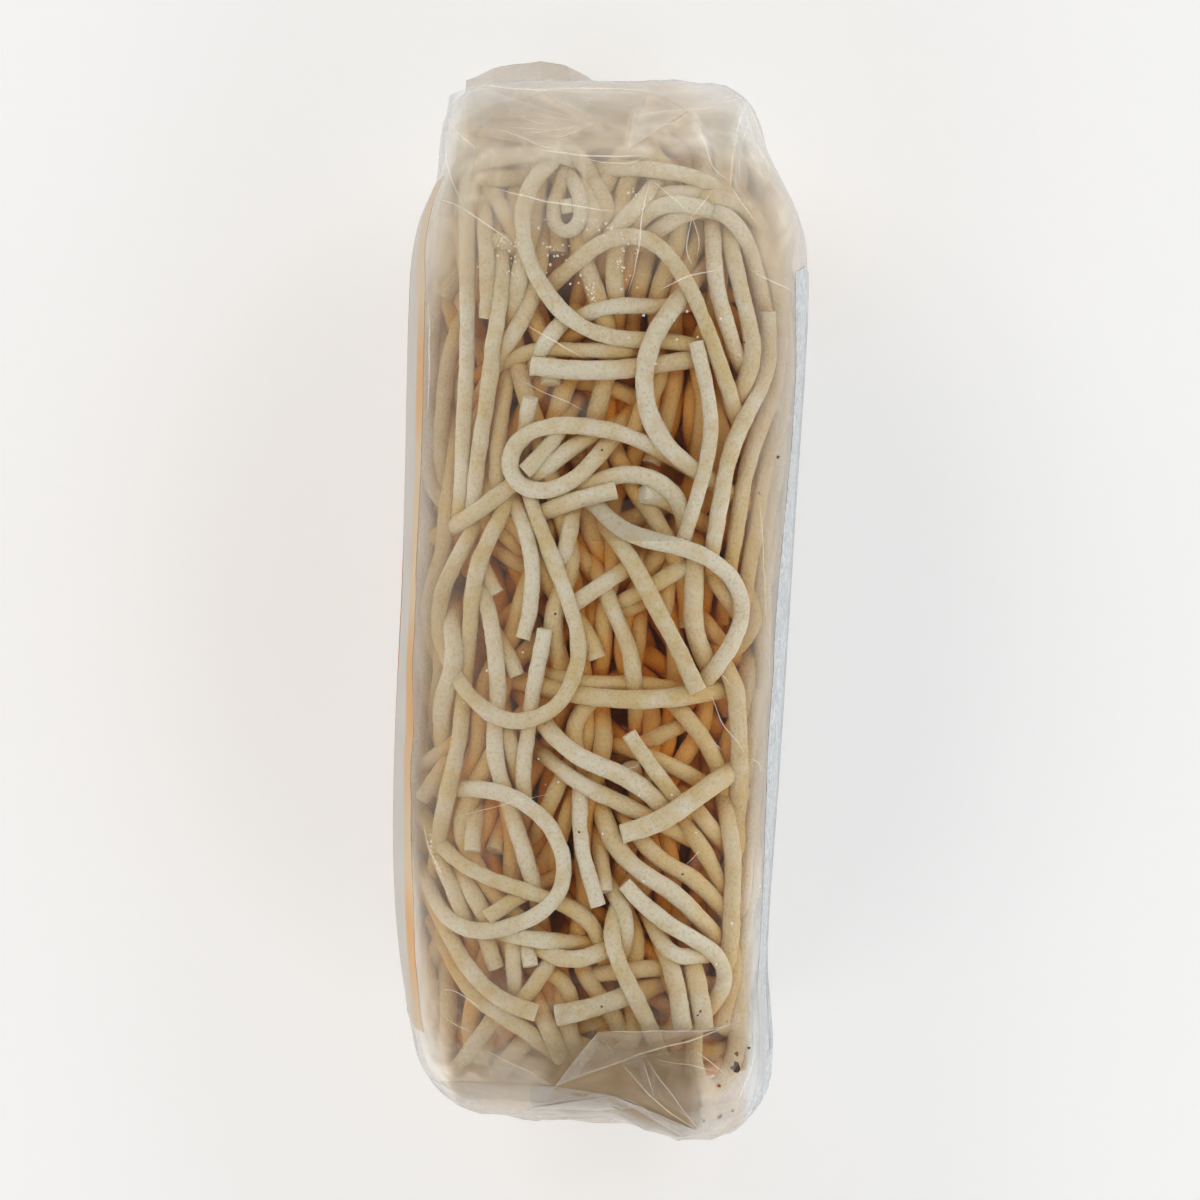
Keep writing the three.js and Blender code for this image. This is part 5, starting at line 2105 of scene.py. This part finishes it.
@dataclass(frozen=True)
class SideSheet:
    """A sheet on a broad side of the bag, from near one narrow side to near the other."""

    name: str
    node: str
    slot: str
    side: Side
    bottom: float
    top: float
    edge: tuple[tuple[float, float], ...]
    waviness: float
    level: float
    slant: float = 0.0
    lift: float = 0.08
    thickness: float = 0.06
    edge_reach: float = 0.035
    follow: float = 0.4
    wander: float = 0.055
    rows: int = 150
    columns: int = 70

    def build(self, material: Material) -> Piece:
        """Makes the sheet.

        Args:
            material: its finish.

        Returns:
            The piece, which stands for the label's solid.
        """
        share, way = np.linspace(0, 1, self.columns)[None], -self.side.value
        seen_y, seen_x = np.array(self.edge).T
        places, heights = SKIN.seen_height(seen_x, seen_y, self.side.value)
        tops = self.top - self.slant * (1 - np.clip(share / 0.13, 0, 1))
        stations = self.bottom + (tops - self.bottom) * np.linspace(0, 1, self.rows)[:, None]
        along = np.stack([stations[:, -1], np.zeros(self.rows), np.zeros(self.rows)], axis=1)
        wave = self.waviness * (lattice_noise(along, 6, 71) - 0.5)[:, None]
        swing = np.clip(self.follow * (heights - self.level), -self.wander, self.wander)
        heights = self.level + swing
        high = SmoothTable(tuple(zip(places, heights))).at(stations[:, -1:]) + wave
        v = high + (-0.9 - high) * share
        grid = SKIN.point(stations, SKIN.rim(v) * self.side.value, v)[:, ::way]
        outward = SKIN.outward(grid)
        places = grid.reshape(-1, 3)
        relief = film_relief(places)
        curl = self.lift * (1 + 0.6 * ridged(places, 9, 72)) + np.maximum(relief, 0)
        at_edge = np.clip(1 - share / self.edge_reach, 0, 1)
        at_edge = np.tile(at_edge[:, ::way], (self.rows, 1))
        height = (curl + self.thickness).reshape(v.shape)
        grid = grid + outward * (height + at_edge * (
            relief.reshape(v.shape) + 0.07 - height))[..., None]
        piece = slabs(self.name, [grid], self.thickness)
        straight = smooth_rise(self.level - v, 0.08, 0.2)
        down = (high + (self.level - high) * straight - v) * SKIN.pack_width / 2
        for name, values in (("down", down), ("along", stations)):
            store(piece, name, np.tile(values[:, ::way].reshape(-1), 2))
        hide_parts(self.node)
        return dress(piece, material, self.slot)


FRONT_SHEET = SideSheet(
    "front_label_sheet", "front_label", "front_label", Side.FRONT, -74, 73,
    ((-70, -29.6), (-61, -30.2), (-55.6, -29.8), (-50, -30), (-39, -31), (-34.4, -30.8),
     (-29, -31), (-23.3, -30.2), (-16.7, -31.1), (-11, -31.7), (0, -31.3), (14.5, -30.8),
     (31, -29.8), (48, -29.7), (62, -29.4), (70, -28.6)), 0.02, 0.8)
BACK_SHEET = SideSheet(
    "back_label_sheet", "back_label", "back_label", Side.BACK, -85, 58.6,
    ((-80, 25.6), (-68, 26.5), (-63, 26.8), (-58, 27.3), (-52, 27.9), (-45, 27.7), (-38, 27.5),
     (-32, 27.2), (-26, 26.8), (-19, 27.3), (-13, 28.2), (-8, 28.3), (-2, 28.8), (3, 29.2),
     (9, 30.2), (17, 31.5), (24, 32.8), (30, 33), (38, 33.2), (45, 32.7), (51, 32), (56, 31)),
    0.012, 0.7, 2.2)


@dataclass(frozen=True)
class PrintedSheet(Finish):
    """Gravure-printed film in the front's place: glossy, orange at its margins, pale inside.

    It gives the eye a warm orange band along the corner and a pale field that turns grey at a
    slant.
    """

    name: str = "printed_film"
    margin: str = "#F7D699"
    faded_margin: str = "#F8E8C8"
    field: str = "#F4F3F0"
    # A faint glow in the print's own colour: painted light
    painted_glow: float = 0.05
    band: str = "#C9823A"
    thinness: float = 0.55
    margin_breadth: float = 5.4
    pale_end: str = "#F3E7D2"
    worn_field: str = "#EDE9E1"
    disc_colour: str = "#F0B34E"
    disc: float = 27.0
    disc_place: float = -4.0
    arch: float = 0.005
    roughness: float = 0.28

    def surface(self, tree: Tree) -> Node:
        """Grows the shader.

        Args:
            tree: the material's node tree.

        Returns:
            The shader's last node.
        """
        place = add_node(tree, "TexCoord").outputs["Object"]
        down, along = (
            add_node(tree, "Attribute", attribute_name=name).outputs["Fac"]
            for name in ("down", "along"))
        half = SKIN.pack_width * 0.865 / 2
        centred = add_node(tree, "Math", {0: down, 1: half}, operation="SUBTRACT")
        aside = add_node(tree, "Math", {0: centred}, operation="ABSOLUTE")
        wave = add_node(tree, "TexNoise", {"Vector": place, "Scale": per_mm(30.0), "Detail": 1.0})
        swing = add_node(tree, "Math", {0: wave, 1: 5.0, 2: aside}, operation="MULTIPLY_ADD")
        squared = add_node(tree, "Math", {0: aside, 1: aside}, operation="MULTIPLY")
        arch = add_node(tree, "Math", {0: squared, 1: self.arch}, operation="MULTIPLY")
        head = add_node(tree, "Math", {0: arch, 1: along}, operation="ADD")
        foot = add_node(tree, "Math", {0: arch, 1: along}, operation="SUBTRACT")
        middle = add_node(tree, "CombineXYZ", {"X": centred, "Y": along})
        away = add_node(tree, "VectorMath", {
            0: middle, 1: (0, self.disc_place, 0)}, operation="DISTANCE").outputs["Value"]
        moved = add_node(tree, "Math", {0: along, 1: 8.0}, operation="ADD")
        off_middle = add_node(tree, "Math", {0: moved}, operation="ABSOLUTE")
        edge = half - self.margin_breadth
        masks = {}
        for name, value, low, high in (
                ("margin", swing, edge + 1.9, edge + 3.1), ("head", head, 49.8, 50.2),
                ("foot", foot, 61.8, 62.2), ("disc", away, self.disc + 0.2, self.disc - 0.2),
                ("ring", away, self.disc + 3.2, self.disc + 2.8), ("inside", aside, 26.0, 25.6),
                ("rim", aside, 42.0, 46.0), ("strength", wave, 0.42, 0.6),
                ("end", off_middle, 50.0, 66.0)):
            masks[name] = add_node(tree, "MapRange", {
                "Value": value, "From Min": low, "From Max": high})
        mottle = add_node(tree, "TexNoise", {"Vector": place, "Scale": per_mm(12.0), "Detail": 4.0})
        bands = add_node(tree, "Math", {0: masks["head"], 1: masks["foot"]}, operation="MAXIMUM")
        banded = add_node(tree, "Math", {0: bands, 1: masks["inside"]}, operation="MULTIPLY")
        pale = add_node(tree, "Math", {0: masks["end"], 1: masks["rim"]}, operation="MULTIPLY")
        margin = add_node(tree, "Mix", {
            0: masks["strength"], 6: linear(self.faded_margin),
            7: linear(self.margin)}, data_type="RGBA")
        colour: Any = linear(self.field)
        for share, over in (
                (mottle, linear(self.worn_field)), (masks["ring"], linear(self.band)),
                (masks["disc"], linear(self.disc_colour)), (banded, linear(self.band)),
                (masks["margin"], margin), (pale, linear(self.pale_end))):
            colour = add_node(tree, "Mix", {0: share, 6: colour, 7: over}, data_type="RGBA")
        front = add_node(tree, "BsdfPrincipled", {
            "Base Color": colour, "Roughness": self.roughness, "IOR": 1.5,
            "Specular IOR Level": 0.45, "Emission Color": colour,
            "Emission Strength": self.painted_glow})
        through = add_node(tree, "BsdfTranslucent", {"Color": colour})
        return add_node(tree, "MixShader", {0: self.thinness, 1: front, 2: through})


@dataclass(frozen=True)
class LabelPaper(Finish):
    """Coated white paper, stuck on and cockled: a fibrous grey-white with rows of grey rules.

    It gives the eye a cool white strip with fine crinkles. The paper is thin enough for some
    light to come through, and it glows faintly in its own colour, which is painted light.
    """

    name: str = "label_paper"
    paper: str = "#F4F6F7"
    shade: str = "#CCD0D3"
    rule: str = "#8E9296"
    roughness: float = 0.5
    thinness: float = 0.35
    # A faint glow in the paper's own colour: painted light
    painted_glow: float = 0.11
    crinkle: float = 1.6
    blank: float = 14.0
    end_margin: float = 7.0
    row: float = 3.2
    word: float = 5.0

    def surface(self, tree: Tree) -> Node:
        """Grows the shader.

        Args:
            tree: the material's node tree.

        Returns:
            The shader's last node.
        """
        place = add_node(tree, "TexCoord").outputs["Object"]
        down, along = (
            add_node(tree, "Attribute", attribute_name=name).outputs["Fac"]
            for name in ("down", "along"))
        fibre = add_node(tree, "TexNoise", {
            "Vector": place, "Scale": per_mm(self.crinkle), "Detail": 4.0, "Roughness": 0.6,
            "Distortion": 1.4})
        rows = add_node(tree, "Math", {0: down, 1: self.row / 2}, operation="PINGPONG")
        stepped = add_node(tree, "Math", {0: down, 1: self.row}, operation="SNAP")
        spot = add_node(tree, "CombineXYZ", {"X": along, "Y": stepped})
        words = add_node(tree, "TexNoise", {
            "Vector": spot, "Scale": 1 / self.word, "Detail": 1.0}, noise_dimensions="2D")
        low, high = BACK_SHEET.bottom, BACK_SHEET.top
        ruled = add_node(tree, "Math", {
            0: along, 1: (low + high) / 2,
            2: (high - low) / 2 - self.end_margin}, operation="COMPARE")
        for value, start, stop in ((rows, 0.5, 0.38), (words, 0.4, 0.43),
                                   (down, self.blank, self.blank + 0.2)):
            mask = add_node(tree, "MapRange", {"Value": value, "From Min": start, "From Max": stop})
            ruled = add_node(tree, "Math", {0: ruled, 1: mask}, operation="MULTIPLY")
        spread = add_node(tree, "MapRange", {"Value": fibre, "From Min": 0.35, "From Max": 0.65})
        colour = add_node(tree, "Mix", {
            0: spread, 6: linear(self.paper), 7: linear(self.shade)}, data_type="RGBA")
        colour = add_node(tree, "Mix", {
            0: ruled, 6: colour, 7: linear(self.rule)}, data_type="RGBA")
        bump = add_node(tree, "Bump", {"Strength": 0.5, "Distance": 0.3 * MM, "Height": fibre})
        front = add_node(tree, "BsdfPrincipled", {
            "Base Color": colour, "Roughness": self.roughness, "IOR": 1.5,
            "Specular IOR Level": 0.3, "Normal": bump, "Emission Color": colour,
            "Emission Strength": self.painted_glow})
        through = add_node(tree, "BsdfTranslucent", {"Color": colour})
        return add_node(tree, "MixShader", {0: self.thinness, 1: front, 2: through})


# ---------------------------------------------------------------------------------------------
# Stage
# ---------------------------------------------------------------------------------------------

@dataclass
class Studio:
    """A pale floor, a light tent that is dim overhead, softboxes and a camera straight above."""

    floor_half: float = 3.0
    lens: float = 108.0
    sky: float = 0.5
    zenith: float = 0.02
    horizon: float = 1.2
    film_passes: int = 32
    soft_bounces: int = 6
    box_size: float = 0.5
    box_distance: float = 1.45
    box_slant: float = 32.0
    box_powers: tuple[float, ...] = (2.02, 1.51, 1.51, 1.38)

    def build(self, material: Material) -> None:
        """Makes the floor, the lights and the camera.

        Args:
            material: the floor's board.
        """
        scene = bpy.context.scene
        half = self.floor_half / MM
        corners = np.array([(-half, -half, 0), (half, -half, 0), (half, half, 0), (-half, half, 0)])
        floor = mesh_object("floor", corners, [(0, 1, 2, 3)])
        floor.data.materials.append(material)
        scene.world = self.air()
        scene.cycles.transparent_max_bounces = self.film_passes
        scene.cycles.diffuse_bounces = self.soft_bounces
        scene.view_settings.view_transform = "Standard"
        for number, power in enumerate(self.box_powers):
            self.softbox(f"softbox_{number}", math.radians(135 - 90 * number), power)
        camera_data = bpy.data.cameras.new("camera")
        camera_data.lens = self.lens
        camera_data.sensor_width = 36.0
        camera = bpy.data.objects.new("camera", camera_data)
        height = (CAMERA_CLEARANCE + SKIN.pack_width) * MM
        camera.location = (0, SKIN.shift * MM, height)
        scene.collection.objects.link(camera)
        scene.camera = camera

    def air(self) -> World:
        """Makes the light from all round: even, but dim straight above, so the film stays clear.

        Returns:
            The world.
        """
        world = bpy.data.worlds.new("studio_air")
        world.use_nodes = True
        tree = world.node_tree
        tree.nodes.clear()
        way = add_node(tree, "TexCoord").outputs["Generated"]
        split = add_node(tree, "SeparateXYZ", {"Vector": way})
        strength = add_node(tree, "MapRange", {
            "Value": split.outputs["Z"], "From Min": 0.97, "From Max": 0.8, "To Min": self.zenith,
            "To Max": self.sky})
        band = add_node(tree, "MapRange", {
            "Value": split.outputs["Z"], "From Min": 0.45, "From Max": 0.15,
            "To Max": self.horizon})
        total = add_node(tree, "Math", {0: strength, 1: band}, operation="ADD")
        background = add_node(tree, "Background", {"Color": (1, 1, 1, 1), "Strength": total})
        add_node(tree, "OutputWorld", {"Surface": background})
        return world

    def softbox(self, name: str, azimuth: float, power: float) -> None:
        """Hangs a square soft light over the bag, slanted away from straight above.

        Args:
            name: the light's name.
            azimuth: the way it hangs, anticlockwise from +X, in radians.
            power: its power, in watts.
        """
        data = bpy.data.lights.new(name, "AREA")
        data.size = self.box_size
        data.energy = power
        lamp = bpy.data.objects.new(name, data)
        slant = math.radians(self.box_slant)
        aside = math.sin(slant) * self.box_distance
        lamp.location = (math.cos(azimuth) * aside, math.sin(azimuth) * aside,
                         math.cos(slant) * self.box_distance)
        bpy.context.scene.collection.objects.link(lamp)
        lamp.rotation_mode = "QUATERNION"
        lamp.rotation_quaternion = (-lamp.location).to_track_quat("-Z", "Y")


def main() -> None:
    """Builds the scene."""
    logging.basicConfig(level=logging.INFO, format="%(name)s: %(message)s")
    dough = DriedNoodleDough().build()
    film = ClearFilm().build()
    Studio().build(FloorBoard().build())
    nest = NoodleNest()
    nest.lay()
    for piece in nest.build(dough):
        report(dress(piece, dough, "noodle"))
    report(NoodleCore().build(dough))
    for piece in crumb_pieces():
        report(piece)
    report(FilmBag().build(film))
    folds = FilmFolds()
    report(folds.layers(film))
    report(folds.lines(CreaseWhiteningAndGlint().build()))
    report(TOP_EAR.build(film))
    report(BOTTOM_FLAP.build(film))
    report(FRONT_SHEET.build(PrintedSheet().build()))
    report(BACK_SHEET.build(LabelPaper().build()))


if __name__ == "__main__":
    main()
